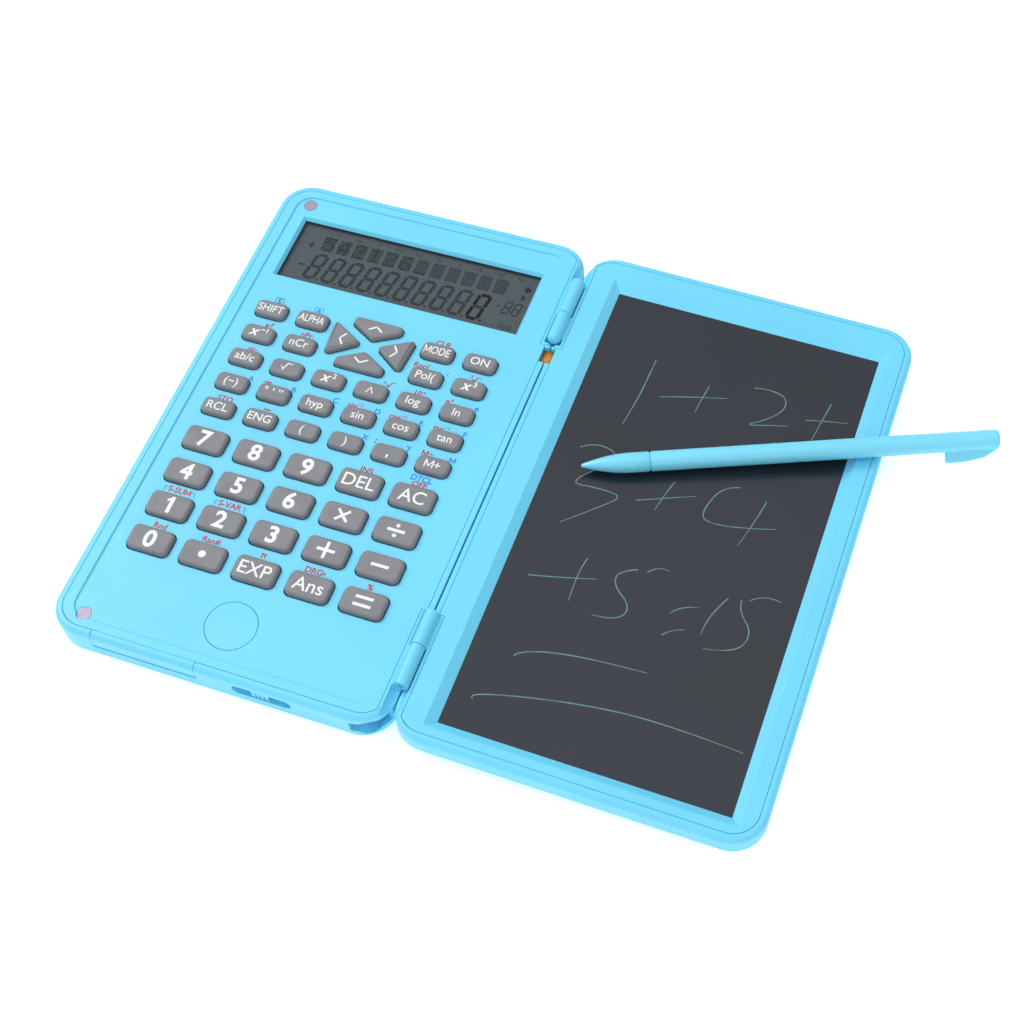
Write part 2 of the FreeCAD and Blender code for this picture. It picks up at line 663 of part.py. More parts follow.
def lock_slider():
    """The screen lock: a ribbed knob in the slot, on a skirt that covers the slot from inside."""
    inner_wall = "-half_length + wall_thickness"
    skirt = box(
        "Skirt",
        ("-knob_far - skirt_half", "-knob_far + skirt_half"),
        (inner_wall + " + 0.1", inner_wall + " + 0.1 + skirt_thickness"),
        ("-skirt_low", "-skirt_top"),
    )
    knob = box(
        "Knob",
        ("-knob_far - knob_width / 2", "-knob_far + knob_width / 2"),
        ("-half_length + 0.35", inner_wall + " + 0.2"),
        ("-knob_low", "-knob_top"),
    )
    ribs = [
        box(
            "Rib%d" % index,
            (x + " - rib_width / 2", x + " + rib_width / 2"),
            ("-half_length", "-half_length + 0.65"),
            ("-skirt_low", "-skirt_top"),
        )
        for index, x in enumerate(("-knob_far - rib_pitch", "-knob_far", "-knob_far + rib_pitch"))
    ]
    sub_part(cut("Slider", join("SliderSolid", [skirt, knob]), ribs), "lock_slider", CALCULATOR)


def erase_button():
    """The round button, flush with the face plate, on a wider flange."""
    x, y = "-button_far", "-button_low"
    flange = post("ButtonFlange", "button_flange", x, y, ("-key_foot", "-flange_top"))
    cap = post("ButtonCap", "button_radius", x, y, ("-key_foot", "-(rim_drop + field_depth)"))
    sub_part(join("EraseButton", [flange, cap]), "erase_button", CALCULATOR)


# ---------------------------------------------------------------- keys


def small_place(column, line):
    """Left edge and middle of a function key."""
    return "-key_far + %d * small_pitch" % column, "small_top - %d * small_step" % line


def large_place(column, line):
    """Left edge and middle of a number key."""
    return "-key_far + %d * large_pitch" % column, "large_top - %d * large_step" % line


def key_cap(name, left, middle, width, height):
    """A rectangular key: a rounded cap on a flange that stays under the face plate."""
    right = "%s + %s" % (left, width)
    low, high = "%s - %s / 2" % (middle, height), "%s + %s / 2" % (middle, height)
    cap = block(name, (left, right), (low, high), ("-key_foot", "key_rise"), "key_corner", "key_edge")
    box(
        name + "Flange",
        (left + " - flange_width", right + " + flange_width"),
        (low + " - flange_width", high + " + flange_width"),
        ("-key_foot", "-flange_top"),
        "PartDesign::AdditiveBox",
        cap,
    )
    return cap


def key_hole(name, left, middle, width, height):
    """The hole in the face plate for a rectangular key."""
    return block(
        name,
        (left + " - key_gap", "%s + %s + key_gap" % (left, width)),
        ("%s - %s / 2 - key_gap" % (middle, height), "%s + %s / 2 + key_gap" % (middle, height)),
        ("-3", "1"),
        "key_corner + key_gap",
    )


def cursor_prism(name, corners, growth, z):
    """A cursor key's outline, grown with round corners and drawn up between two heights."""
    sketch = document.addObject("Sketcher::SketchObject", name + "Sketch")
    outline(sketch, [("-cursor_far + %s" % x, "cursor_middle + %s" % y) for x, y in corners])
    grown = document.addObject("Part::Offset2D", name + "Grown")
    grown.Source = sketch
    grown.setExpression("Value", formula(growth))
    prism = document.addObject("Part::Extrusion", name)
    prism.Base = grown
    prism.DirMode = "Custom"
    prism.Dir = FreeCAD.Vector(0, 0, 1)
    prism.Solid = True
    prism.setExpression("LengthFwd", formula("(%s) - (%s)" % (z[1], z[0])))
    prism.setExpression("Placement.Base.z", formula(z[0]))
    return prism


def cursor_outlines():
    """The four cursor keys by name: two outlines and their mirror images."""
    return {
        "cursor_up": CURSOR_UP,
        "cursor_down": [(x, -y) for x, y in CURSOR_UP],
        "cursor_left": CURSOR_LEFT,
        "cursor_right": [(-x, y) for x, y in CURSOR_LEFT],
    }


def dome(name, x, y):
    """A rubber dome that lifts one key."""
    item = document.addObject("Part::Cone", name)
    item.setExpression("Radius1", formula("dome_foot"))
    item.setExpression("Radius2", formula("dome_head"))
    item.setExpression("Height", formula("board_top - mat_thickness + 0.1 - key_foot - dome_play"))
    for axis, place in (("x", x), ("y", y), ("z", "-board_top + mat_thickness - 0.1")):
        item.setExpression("Placement.Base." + axis, formula(place))
    return item


def keypad():
    """Every key with its hole and its dome; returns the holes and the domes."""
    holes, domes = [], []

    def rectangular(name, place, width, height):
        left, middle = place
        holes.append(key_hole("Hole" + name, left, middle, width, height))
        domes.append(dome("Dome" + name, "%s + %s / 2" % (left, width), middle))
        return key_cap("Key" + name, left, middle, width, height)

    for column, word in enumerate(SMALL_KEYS):
        if word:
            key = rectangular(word.title(), small_place(column, 0), "small_width", "small_height")
            sub_part(key, "key_" + word, CALCULATOR)
    for line, columns in enumerate(FUNCTION_ROWS, start=1):
        keys = []
        for column in columns:
            place = small_place(column, line)
            name = "Row%dColumn%d" % (line, column)
            keys.append(rectangular(name, place, "small_width", "small_height"))
        sub_part(group("FunctionRow%d" % line, keys), "function_keys_row_%d" % line, CALCULATOR)
    for line, words in enumerate(LARGE_KEYS):
        for column, word in enumerate(words):
            place = large_place(column, line)
            key = rectangular(word.title(), place, "large_width", "large_height")
            sub_part(key, "key_" + word, CALCULATOR)
    for word, corners in cursor_outlines().items():
        name = word.title().replace("_", "")
        cap = cursor_prism(name + "Cap", corners, "cursor_corner", ("-key_foot", "key_rise"))
        foot = ("-key_foot", "-flange_top")
        flange = cursor_prism(name + "Flange", corners, "cursor_corner + flange_width", foot)
        holes.append(cursor_prism(name + "Hole", corners, "cursor_corner + key_gap", ("-3", "1")))
        middle_x = "-cursor_far + %.2f" % (sum(x for x, y in corners) / len(corners))
        middle_y = "cursor_middle + %.2f" % (sum(y for x, y in corners) / len(corners))
        domes.append(dome(name + "Dome", middle_x, middle_y))
        sub_part(join(name, [cap, flange]), word, CALCULATOR)
    return holes, domes


def face_plate(holes):
    """The plate that the keys stand through, sunk a little inside its border."""
    slab = plate_outline("Plate", CALCULATOR, "0", (PLATE_UNDER, RIM))
    field = block(
        "Field",
        span(CALCULATOR, "field_margin", "half_width - field_margin"),
        both("half_length - field_margin + 0.6"),
        ("-(rim_drop + field_depth)", "1"),
        "field_corner",
        None,
        "field_round",
    )
    window = funnel(
        "Window",
        span(CALCULATOR, "window_near", "window_far"),
        ("window_low", "window_high"),
        (PLATE_UNDER + " - 0.01", "-(rim_drop + field_depth) + 0.01"),
        span(CALCULATOR, "window_near - window_flare", "window_far + window_flare"),
        ("window_low - window_flare", "window_high + window_flare"),
    )
    button = post("ButtonHole", "button_radius + button_gap", "-button_far", "-button_low", ("-3", "1"))
    magnet_under = "-(rim_drop + field_depth + magnet_depth)"
    magnet_seats = [
        post("MagnetSeat%d" % index, "magnet_radius", "-magnet_far", high, (magnet_under, "1"))
        for index, high in enumerate(("magnet_high", "magnet_low"))
    ]
    stands = bosses("Plate", CALCULATOR, CALCULATOR_SCREWS, ("-boss_split", PLATE_UNDER + " + 0.1"))
    under_drawer = ("-half_length", "-half_length + plate_inset")
    drawer_relief = box("DrawerRelief", DRAWER_GAP_X, under_drawer, ("-3", "1"))
    sunk = cut("PlateSunk", slab, [field])
    opened = cut("PlateOpened", sunk, [window, button, drawer_relief] + magnet_seats + holes)
    bossed = join("PlateBossed", [opened] + stands)
    plate = cut("FacePlate", bossed, pilot_holes("Plate", CALCULATOR, CALCULATOR_SCREWS))
    sub_part(plate, "face_plate", CALCULATOR)
    magnet_z = (magnet_under, "-(rim_drop + field_depth)")
    magnets = [
        post("Magnet%d" % index, "magnet_radius", "-magnet_far", high, magnet_z)
        for index, high in enumerate(("magnet_high", "magnet_low"))
    ]
    sub_part(group("Magnets", magnets), "closure_magnets", CALCULATOR)


def calculator_inside(domes):
    """Display, boards, rubber mat, battery contacts and screws."""
    lens_x = span(CALCULATOR, "board_near", "board_far")
    lens_y = ("window_low - 1.8", "window_high + 1.8")
    lens = box("Lens", lens_x, lens_y, (PLATE_UNDER + " - 1", PLATE_UNDER))
    sub_part(lens, "display_lens", CALCULATOR)
    panel = box("Panel", lens_x, lens_y, ("-4.6", PLATE_UNDER + " - 1"))
    sub_part(panel, "display_panel", CALCULATOR)
    strip = box("Zebra", ("-86", "-14"), ("window_low - 1.6", "window_low"), ("-board_top", "-4.6"))
    sub_part(strip, "display_connector", CALCULATOR)
    board_z = ("-(board_top + board_thickness)", "-board_top")
    chip_under = "-(board_top + board_thickness + 0.9)"
    board_parts = [
        box("BoardMain", lens_x, ("-55.5", "52"), board_z),
        box("BoardTongue", ("-57", "-42"), ("-76", "-55"), board_z),
        box("ControllerChip", ("-60", "-44"), ("4", "20"), (chip_under, "-board_top - 0.5")),
    ]
    sub_part(join("Board", board_parts), "circuit_board", CALCULATOR)
    mat_z = ("-board_top", "-board_top + mat_thickness")
    mat_parts = [
        box("MatMain", ("-board_far", "-board_near - 0.6"), ("-55.5", "39"), mat_z),
        box("MatTongue", ("-56.8", "-42.2"), ("-75.5", "-55"), mat_z),
        dome("ButtonDome", "-button_far", "-button_low"),
    ]
    sub_part(join("Mat", mat_parts + domes), "key_mat", CALCULATOR)
    leaves = [
        box("Contact%d" % index, (x, x + " + 4"), ("-57.6", "-57.3"), ("-board_top - 0.5", "-2.6"))
        for index, x in enumerate(("-76", "-67"))
    ]
    foot_z = ("-board_top - 0.5", "-board_top - 0.2")
    feet = [
        box("ContactFoot%d" % index, (x, x + " + 4"), ("-57.5", "-55.5"), foot_z)
        for index, x in enumerate(("-76", "-67"))
    ]
    contacts = [join("ContactJoined%d" % index, pair) for index, pair in enumerate(zip(leaves, feet))]
    sub_part(group("Contacts", contacts), "battery_contacts", CALCULATOR)
    fixings = screws("Calculator", CALCULATOR, CALCULATOR_SCREWS, CALCULATOR_BASE)
    sub_part(fixings, "case_screws", CALCULATOR)


def flex_cable():
    """The flat cable that arches across the spine from board to board."""
    middle = measured("(flex_low + flex_high) / 2")
    near_side = [(-10.1, -6.1), (-7.2, -5.6), (-4.2, -3.25), (-2.6, -2.75), (-1.3, -1.95)]
    far_side = [(1.3, -1.95), (2.6, -2.7), (4.2, -3.15), (7.0, -4.45), (9.5, -4.5)]
    route = near_side + [(0, -1.5)] + far_side
    low_y = middle - sizes.flex_width / 2
    upper, lower = Part.BSplineCurve(), Part.BSplineCurve()
    upper.interpolate([FreeCAD.Vector(x, low_y, z) for x, z in route])
    lower.interpolate([FreeCAD.Vector(x, low_y, z - sizes.flex_thickness) for x, z in route])
    ends = [
        Part.makeLine(upper.EndPoint, lower.EndPoint),
        Part.makeLine(lower.StartPoint, upper.StartPoint),
    ]
    profile = Part.Face(Part.Wire(Part.__sortEdges__([upper.toShape(), lower.toShape()] + ends)))
    cable = document.addObject("Part::Feature", "FlexCable")
    cable.Shape = profile.extrude(FreeCAD.Vector(0, sizes.flex_width, 0))
    sub_part(cable, "flex_cable", CALCULATOR)


# ---------------------------------------------------------------- stylus


def turned(name, corners):
    """A body of revolution about x from one closed half outline."""
    body = document.addObject("PartDesign::Body", name)
    sketch = body.newObject("Sketcher::SketchObject", name + "Sketch")
    sketch.AttachmentSupport = (origin_plane(body, "XY_Plane"), [""])
    sketch.MapMode = "FlatFace"
    outline(sketch, corners)
    turn = body.newObject("PartDesign::Revolution", name + "Turn")
    turn.Profile = sketch
    turn.ReferenceAxis = (sketch, ["H_Axis"])
    turn.Angle = 360
    document.recompute()
    return body


def stylus():
    """The stylus: a tapered tip on a spigot, and a barrel with a lifting fin at its tail."""
    tip = turned(
        "StylusTip",
        [
            ("0", "0"),
            ("0.15", "nose_radius * 0.7"),
            ("nose_radius * 0.8", "nose_radius * 1.1"),
            ("taper_length * 0.36", "stylus_radius * 0.6"),
            ("taper_length * 0.7", "stylus_radius * 0.88"),
            ("taper_length", "stylus_radius"),
            ("tip_length - 0.3", "stylus_radius"),
            ("tip_length", "stylus_radius - 0.3"),
            ("tip_length", "spigot_radius"),
            ("tip_length + spigot_length", "spigot_radius"),
            ("tip_length + spigot_length", "0"),
        ],
    )
    barrel = turned(
        "StylusBarrel",
        [
            ("tip_length + spigot_length", "0"),
            ("tip_length + spigot_length", "spigot_radius"),
            ("tip_length", "spigot_radius"),
            ("tip_length", "stylus_radius - 0.3"),
            ("tip_length + 0.3", "stylus_radius"),
            ("stylus_length - 0.8", "stylus_radius"),
            ("stylus_length", "stylus_radius - 0.8"),
            ("stylus_length", "0"),
        ],
    )
    fin_sketch = barrel.newObject("Sketcher::SketchObject", "FinSketch")
    fin_sketch.AttachmentSupport = (origin_plane(barrel, "XY_Plane"), [""])
    fin_sketch.MapMode = "FlatFace"
    outline(
        fin_sketch,
        [
            ("stylus_length - fin_length", "1"),
            ("stylus_length - fin_length", "fin_depth"),
            ("stylus_length - fin_length * 0.62", "fin_depth - 0.1"),
            ("stylus_length - fin_length * 0.28", "fin_depth - 1.0"),
            ("stylus_length - 0.2", "fin_depth - 3.4"),
            ("stylus_length - 0.2", "1"),
        ],
    )
    fin = barrel.newObject("PartDesign::Pad", "Fin")
    fin.Profile = fin_sketch
    fin.Midplane = True
    fin.setExpression("Length", formula("fin_thickness"))
    hinge = FreeCAD.Placement(
        FreeCAD.Vector(sizes.half_width / 2, 0, sizes.calculator_depth + sizes.rim_drop),
        FreeCAD.Rotation(FreeCAD.Vector(0, 1, 0), sizes.droop),
    )
    turn_up = FreeCAD.Rotation(FreeCAD.Vector(0, 0, 1), sizes.stylus_turn)
    lift = FreeCAD.Rotation(FreeCAD.Vector(0, 1, 0), -sizes.stylus_lift)
    roll = FreeCAD.Rotation(FreeCAD.Vector(1, 0, 0), -90 - sizes.stylus_roll)
    nose_height = PLATE_UNDER + " + stylus_radius + stylus_rest - taper_length * sin(stylus_lift * 1deg)"
    nose = FreeCAD.Vector(sizes.touch_far, sizes.touch_high, measured(nose_height))
    for item, label in ((tip, "stylus_tip"), (barrel, "stylus_barrel")):
        item.Label = label
        item.Placement = hinge * FreeCAD.Placement(nose, turn_up * lift * roll)
        subparts.append(item)


def write_steps():
    """Check every object, then write one file per sub-part."""
    document.recompute()
    failed = [item.Name for item in document.Objects if {"Invalid", "Error"} & set(item.State)]
    broken = [item.Label for item in subparts if item.Shape.isNull() or not item.Shape.isValid()]
    if failed or broken:
        raise SystemExit("failed objects %s, broken shapes %s" % (failed, broken))
    os.makedirs("parts", exist_ok=True)
    for item in subparts:
        item.Shape.exportStep("parts/%s.step" % item.Label)
    print("wrote %d sub-parts" % len(subparts))


tablet_shell()
tablet_bezel()
tablet_inside()
case_block = calculator_shell()
stylus_sleeve()
battery_drawer(case_block)
lock_slider()
erase_button()
hinge_pins()
key_holes, key_domes = keypad()
face_plate(key_holes)
calculator_inside(key_domes)
flex_cable()
stylus()
write_steps()
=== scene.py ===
"""A folding pocket calculator with a writing tablet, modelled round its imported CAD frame.

The calculator lies flat and the tablet is folded out beside it, with the stylus across the
writing screen.  Mouldings are eased copies of the CAD mouldings.  Keys, captions, display
segments, handwriting, stylus and ribbon cable are modelled here.  Lengths in the tables are
millimetres, measured from the hinge axis: x is negative on the calculator and positive on the
tablet, and y runs up the spine.
"""
import math

import bmesh
import bpy
from bpy.props import FloatProperty, FloatVectorProperty, IntProperty, PointerProperty
from mathutils import Matrix, Vector


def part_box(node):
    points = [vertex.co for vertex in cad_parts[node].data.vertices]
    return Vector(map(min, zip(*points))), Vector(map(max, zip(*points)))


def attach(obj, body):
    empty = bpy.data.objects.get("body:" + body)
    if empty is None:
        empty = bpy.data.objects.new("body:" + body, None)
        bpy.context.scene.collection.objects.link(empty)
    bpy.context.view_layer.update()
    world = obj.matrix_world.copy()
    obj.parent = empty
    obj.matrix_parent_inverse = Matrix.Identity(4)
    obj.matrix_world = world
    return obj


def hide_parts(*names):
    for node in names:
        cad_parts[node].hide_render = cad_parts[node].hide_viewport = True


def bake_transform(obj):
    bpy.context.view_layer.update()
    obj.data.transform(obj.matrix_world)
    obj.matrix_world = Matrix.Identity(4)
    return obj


bl_info = {
    "name": "Folding Pocket Calculator",
    "version": (1, 0, 0),
    "blender": (4, 5, 0),
    "location": "3D View > Sidebar > Calculator",
    "description": "Case, keys, display, writing tablet and stylus of a folding pocket calculator",
    "category": "Object",
}

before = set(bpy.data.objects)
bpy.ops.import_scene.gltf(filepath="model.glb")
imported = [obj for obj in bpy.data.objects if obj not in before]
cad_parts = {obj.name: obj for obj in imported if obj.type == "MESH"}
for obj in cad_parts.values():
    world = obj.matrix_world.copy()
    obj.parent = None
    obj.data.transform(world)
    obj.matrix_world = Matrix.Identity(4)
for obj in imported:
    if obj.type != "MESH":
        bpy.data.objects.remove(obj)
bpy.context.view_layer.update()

MM = 0.001
CAP_HEIGHT = 0.682
INK_DEPTH = 0.025 * MM
INK_RISE = INK_DEPTH * 0.4
LETTER_GAP = 0.06
DROOP = math.radians(1.83)
SHARP = math.radians(32)
LEVEL = math.radians(0.1)

PIN_LOW, PIN_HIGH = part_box("hinge_pins")
HINGE = Vector(((PIN_LOW.x + PIN_HIGH.x) / 2, 0.0, (PIN_LOW.z + PIN_HIGH.z) / 2))
TABLET_PLACE = Matrix.Translation(HINGE) @ Matrix.Rotation(DROOP, 4, "Y")
FIELD_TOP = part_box("erase_button")[1].z
PANEL_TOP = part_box("display_panel")[1].z

# How a run of lettering is set: its height against the legend's, lift, slant and weight.
STYLES = {
    "plain": (1.0, 0.0, 0.0, 0.006),
    "caption": (1.0, 0.0, 0.0, 0.022),
    "digit": (1.0, 0.0, 0.0, 0.028),
    "italic": (1.22, 0.0, 0.22, 0.022),
    "raised": (0.62, 0.62, 0.0, 0.022),
    "sign": (1.0, 0.0, 0.0, 0.0),
}

# Strokes added to signs that the built-in lettering draws too plainly: start, end and width,
# from the sign's upper right corner.
ADDED_STROKES = {
    "1": ((-0.06, -0.07), (-0.28, -0.20), 0.11),
    "√": ((-0.04, -0.03), (0.36, -0.03), 0.075),
}

# Signs drawn from straight strokes: start and end of each.
DRAWN_SIGNS = {
    "M": (
        ((0.0, 0.0), (0.0, 0.68)),
        ((0.0, 0.68), (0.3, 0.12)),
        ((0.3, 0.12), (0.6, 0.68)),
        ((0.6, 0.68), (0.6, 0.0)),
    ),
    "π": (((0.0, 0.5), (0.66, 0.5)), ((0.2, 0.5), (0.14, 0.0)), ((0.46, 0.5), (0.5, 0.0))),
    "#": (
        ((0.12, 0.0), (0.22, 0.66)),
        ((0.36, 0.0), (0.46, 0.66)),
        ((0.0, 0.22), (0.56, 0.22)),
        ((0.02, 0.45), (0.58, 0.45)),
    ),
}
STROKE_WIDTH = 0.085

# Number keys: node, legend, style and cap height.
NUMBER_KEYS = (
    *((f"key_{digit}", digit, "digit", 4.9) for digit in "7894561230"),
    ("key_delete", "DEL", "plain", 3.9),
    ("key_clear", "AC", "plain", 3.9),
    ("key_exponent", "EXP", "plain", 3.9),
    ("key_answer", "Ans", "plain", 3.9),
    ("key_times", "×", "sign", 6.6),
    ("key_divide", "÷", "sign", 7.4),
    ("key_plus", "+", "sign", 7.6),
    ("key_minus", "−", "sign", 7.4),
    ("key_equals", "=", "sign", 7.4),
    ("key_point", "•", "sign", 6.0),
)

# Function keys: node, then the legend in each column, or None where there is no key.
# A legend is a word in the plain style, or runs that each name their own.
X_INVERSE = (("x", "italic"), ("−1", "raised"))
X_SQUARED = (("x", "italic"), ("2", "raised"))
X_CUBED = (("x", "italic"), ("3", "raised"))
FUNCTION_KEYS = (
    ("key_shift", ("SHIFT",)),
    ("key_alpha", ("ALPHA",)),
    ("key_mode", ((("M", "plain"), ("ODE", "plain")),)),
    ("key_on", ("ON",)),
    ("function_keys_row_1", (X_INVERSE, "nCr", None, None, "Pol(", X_CUBED)),
    ("function_keys_row_2", ("ab/c", "√", X_SQUARED, "∧", "log", "ln")),
    ("function_keys_row_3", ("(−)", "° ’ ”", "hyp", "sin", "cos", "tan")),
    (
        "function_keys_row_4",
        ("RCL", "ENG", "(", ")", ((",", "digit"),), (("M", "plain"), ("+", "plain"))),
    ),
)

# Cursor keys: middle of the four, and from it the centres of the round corners of the upper
# and the left key, with the size of the arrow on each.
CURSOR_CENTRE = (-50.4, 29.0)
CURSOR_UP = ((-6.4, 8.0), (-6.4, 7.1), (0.0, 3.5), (6.4, 7.1), (6.4, 8.0))
CURSOR_LEFT = ((-11.6, 4.1), (-10.9, -4.3), (-4.5, 0.1))
ARROW_TIP, ARROW_SIDE, ARROW_BACK, ARROW_WIDTH = 1.0, 2.1, 1.5, 0.5

# Captions printed on the face plate, and the middle of each: a word in the caption style, or
# runs that each name their own.
RED_CAPTIONS = (
    ("CLR", -30.0, 36.8),
    ((("x!", "italic"),), -82.2, 27.7),
    ("nPr", -69.7, 27.9),
    ("Rec(", -33.2, 27.7),
    (((":", "digit"),), -25.0, 27.3),
    ((("3", "raised"), ("√", "caption")), -16.7, 27.5),
    ("d/c", -83.0, 18.2),
    ((("x", "raised"), ("√", "caption")), -39.7, 18.4),
    ((("10", "caption"), ("x", "raised")), -30.0, 18.2),
    ((("e", "caption"), ("x", "raised")), -20.9, 18.2),
    ((("sin", "caption"), ("−1", "raised")), -46.2, 8.7),
    ((("cos", "caption"), ("−1", "raised")), -33.0, 8.7),
    ((("tan", "caption"), ("−1", "raised")), -19.8, 8.7),
    ("STO", -83.1, -0.3),
    (((";", "digit"),), -35.8, -0.3),
    ((("M", "caption"), ("−", "caption")), -20.3, -0.3),
    ("INS", -34.4, -10.6),
    ("OFF", -18.6, -10.6),
    ((("S-SU", "caption"), ("M", "caption")), -81.7, -33.0),
    ("S-VAR", -66.1, -33.0),
    ("Rnd", -81.7, -45.0),
    ((("Ran", "caption"), ("#", "caption")), -66.1, -45.0),
    ((("π", "digit"),), -50.4, -44.8),
    ("DRG▸", -34.8, -45.0),
    ("%", -18.9, -45.0),
)
RED_DASHES = ((-73.6, 8.8), (-69.8, -0.2))
BLUE_CAPTIONS = (
    ("A", -70.0, 37.1),
    ("e", -12.6, 18.2),
    ("A", -78.9, 8.5),
    ("B", -65.3, 8.5),
    ("C", -52.2, 8.7),
    ("D", -39.2, 8.7),
    ("E", -25.8, 8.7),
    ("F", -12.6, 8.7),
    ("X", -39.2, -0.4),
    ("Y", -26.0, -0.4),
    ("M", -12.8, -0.4),
    ("DT", -20.2, -8.7),
    ("CL", -17.0, -8.7),
)

# Frames, brackets and dashes by some captions: their places, half sizes, reach and line widths.
SHIFT_MARK = (-82.8, 37.1)
ALPHA_MARK = (-70.0, 37.1)
FRAME_HALF, FRAME_LINE = 1.25, 0.16
BRACKETS = ((-81.7, -32.6), (-66.1, -32.6))
BRACKET_HALF, BRACKET_FOOT, BRACKET_DROP, BRACKET_LINE = 4.6, 0.9, 1.5, 0.2
DASH_HALF, DASH_WIDTH = 1.1, 0.5

# Strokes written on the screen, one corner after another, their thin end and their height as a
# share of their width.
HANDWRITING = (
    ((29.9, 51.1), (29.6, 45.0), (29.1, 36.0), (27.7, 26.8)),
    ((34.9, 39.3), (43.0, 42.1), (52.9, 44.7)),
    ((47.0, 47.3), (46.0, 41.5), (45.7, 37.3)),
    (
        *((59.0, 50.7), (62.7, 51.6), (68.6, 50.6), (69.4, 46.0)),
        *((65.3, 41.2), (60.0, 37.6), (65.6, 39.4), (71.6, 41.1)),
    ),
    ((75.7, 44.6), (81.0, 46.2), (87.3, 47.3)),
    ((81.1, 52.2), (79.9, 45.1), (78.8, 37.3)),
    (
        *((19.1, 15.8), (22.0, 18.2), (27.8, 18.0), (29.7, 15.6), (26.0, 10.5), (22.0, 6.4)),
        *((21.4, 3.8), (27.0, 4.6), (35.6, 4.4), (31.0, -0.6), (21.8, -9.1)),
    ),
    ((39.1, 4.2), (46.0, 7.2), (54.1, 10.7)),
    ((47.4, 13.4), (46.0, 8.6), (44.9, 2.9)),
    ((64.9, 17.3), (60.2, 16.2), (57.2, 7.0), (58.6, 3.6), (68.0, 4.6), (77.7, 7.6)),
    ((72.9, 15.3), (71.4, 6.6), (69.3, -0.7)),
    ((19.3, -27.3), (27.0, -25.6), (36.9, -22.7)),
    ((32.7, -17.3), (31.4, -22.6), (32.1, -31.3)),
    ((46.6, -16.3), (41.6, -18.3), (41.8, -22.9), (48.4, -27.8), (46.0, -33.0), (39.1, -33.2)),
    ((49.1, -16.3), (51.4, -13.2), (54.7, -14.1)),
    ((58.4, -26.2), (60.4, -23.0), (65.1, -22.1)),
    ((58.4, -32.9), (60.6, -30.2), (63.6, -29.6)),
    ((71.6, -16.8), (67.6, -24.6), (68.0, -29.6)),
    ((75.1, -16.2), (75.1, -19.4), (80.6, -24.8), (78.0, -32.0), (69.6, -33.2)),
    ((77.1, -15.7), (80.6, -12.4), (85.2, -13.6)),
    ((24.2, -51.4), (23.8, -50.4), (31.0, -47.4), (44.0, -45.4), (58.2, -44.7)),
    ((18.4, -66.2), (16.6, -65.4), (27.0, -62.2), (46.0, -58.4), (66.0, -56.6), (87.7, -58.0)),
)
STROKE_END, STROKE_RISE = 0.55, 0.08

# Dot patterns of the characters in the upper row of the display, row by row.
DOT_PATTERNS = {
    "1": ("00100", "01100", "00100", "00100", "00100", "00100", "01110"),
    "2": ("01110", "10001", "00001", "00110", "01000", "10000", "11111"),
    "4": ("00010", "00110", "01010", "10010", "11111", "00010", "00010"),
    "5": ("11111", "10000", "11110", "00001", "00001", "10001", "01110"),
    "6": ("00110", "01000", "10000", "11110", "10001", "10001", "01110"),
    "_": ("00000", "00000", "00000", "00000", "00000", "00000", "11111"),
    " ": ("00000", "00000", "00000", "00000", "00000", "00000", "00000"),
}
DOT_ROW = "542126_     "
DOT_ROW_START, DOT_ROW_PITCH = (-80.3, 65.7), 5.09
DOT_PITCH = Vector((0.78, -0.79)) * MM
DOT_WIDTH, DOT_HEIGHT = 0.62, 0.64

# Bars of a seven-segment digit: start and end as shares of its width and height.
DIGIT_BARS = (
    ((0, 1), (1, 1)),
    ((0, 0.5), (1, 0.5)),
    ((0, 0), (1, 0)),
    ((0, 0.5), (0, 1)),
    ((1, 0.5), (1, 1)),
    ((0, 0), (0, 0.5)),
    ((1, 0), (1, 0.5)),
)
MIDDLE_BAR = 1
BAR_GAP, BAR_POINT = 0.12, 0.42

# The large digits, the two of the exponent, and the point after each large one.
DIGIT_COUNT, DIGIT_START, DIGIT_PITCH, DIGIT_SIZE = 10, (-81.3, 49.7), 5.87, (3.3, 9.1)
EXPONENTS, EXPONENT_SIZE, EXPONENT_BAR = ((-19.1, 54.2), (-16.2, 54.2)), (1.9, 4.5), 0.5
POINT_PLACE, POINT_SIZE = Vector((4.15, -0.1)) * MM, 0.7

# Other marks of the display: minus signs by place, length and width; pointers by place and turn;
# the words of the top line, from the first one's middle on.
MINUS_SIGNS = ((-21.2, 56.4, 1.3, 0.4), (-84.6, 53.9, 2.0, 0.6))
POINTERS = ((-84.4, 61.9, 180), (-13.8, 61.2, 0), (-14.2, 65.6, 90), (-14.2, 63.2, 270))
POINTER_STEPS, POINTER_STEP, POINTER_SPREAD = 4, 0.4, 0.34
SIGNALS = ("S", "A", "hyp", "M", "STO", "RCL", "D", "R", "G", "FIX", "SCI")
SIGNAL_START, SIGNAL_PITCH, SIGNAL_HEIGHT = (-83.2, 67.6), 6.6, 1.1
DISPLAY_WORD, DISPLAY_WORD_PLACE, DISPLAY_WORD_HEIGHT = "Disp", (-16.0, 49.6), 1.7
WINDOW_AIR, WINDOW_EASING = 0.08, 0.12

MOULDINGS = (
    ("lower_case", "calculator"),
    ("face_plate", "calculator"),
    ("tablet_case", "tablet"),
    ("tablet_bezel", "tablet"),
    ("battery_drawer", "drawer"),
    ("lock_slider", "lock"),
    ("erase_button", "eraser"),
)
MAGNET_EASING = 0.1

# The stylus at rest: place of its nose on the tablet, its turns, the screen's depth below the
# hinge axis and the gap above the screen.
NOSE_PLACE = (21.9, 8.4)
STYLUS_YAW, STYLUS_TILT, STYLUS_ROLL = (math.radians(turn) for turn in (22.3, 1.45, -130.0))
SCREEN_SINK, STYLUS_GAP = 1.7, 0.12
FIN_ROUNDING = 0.55

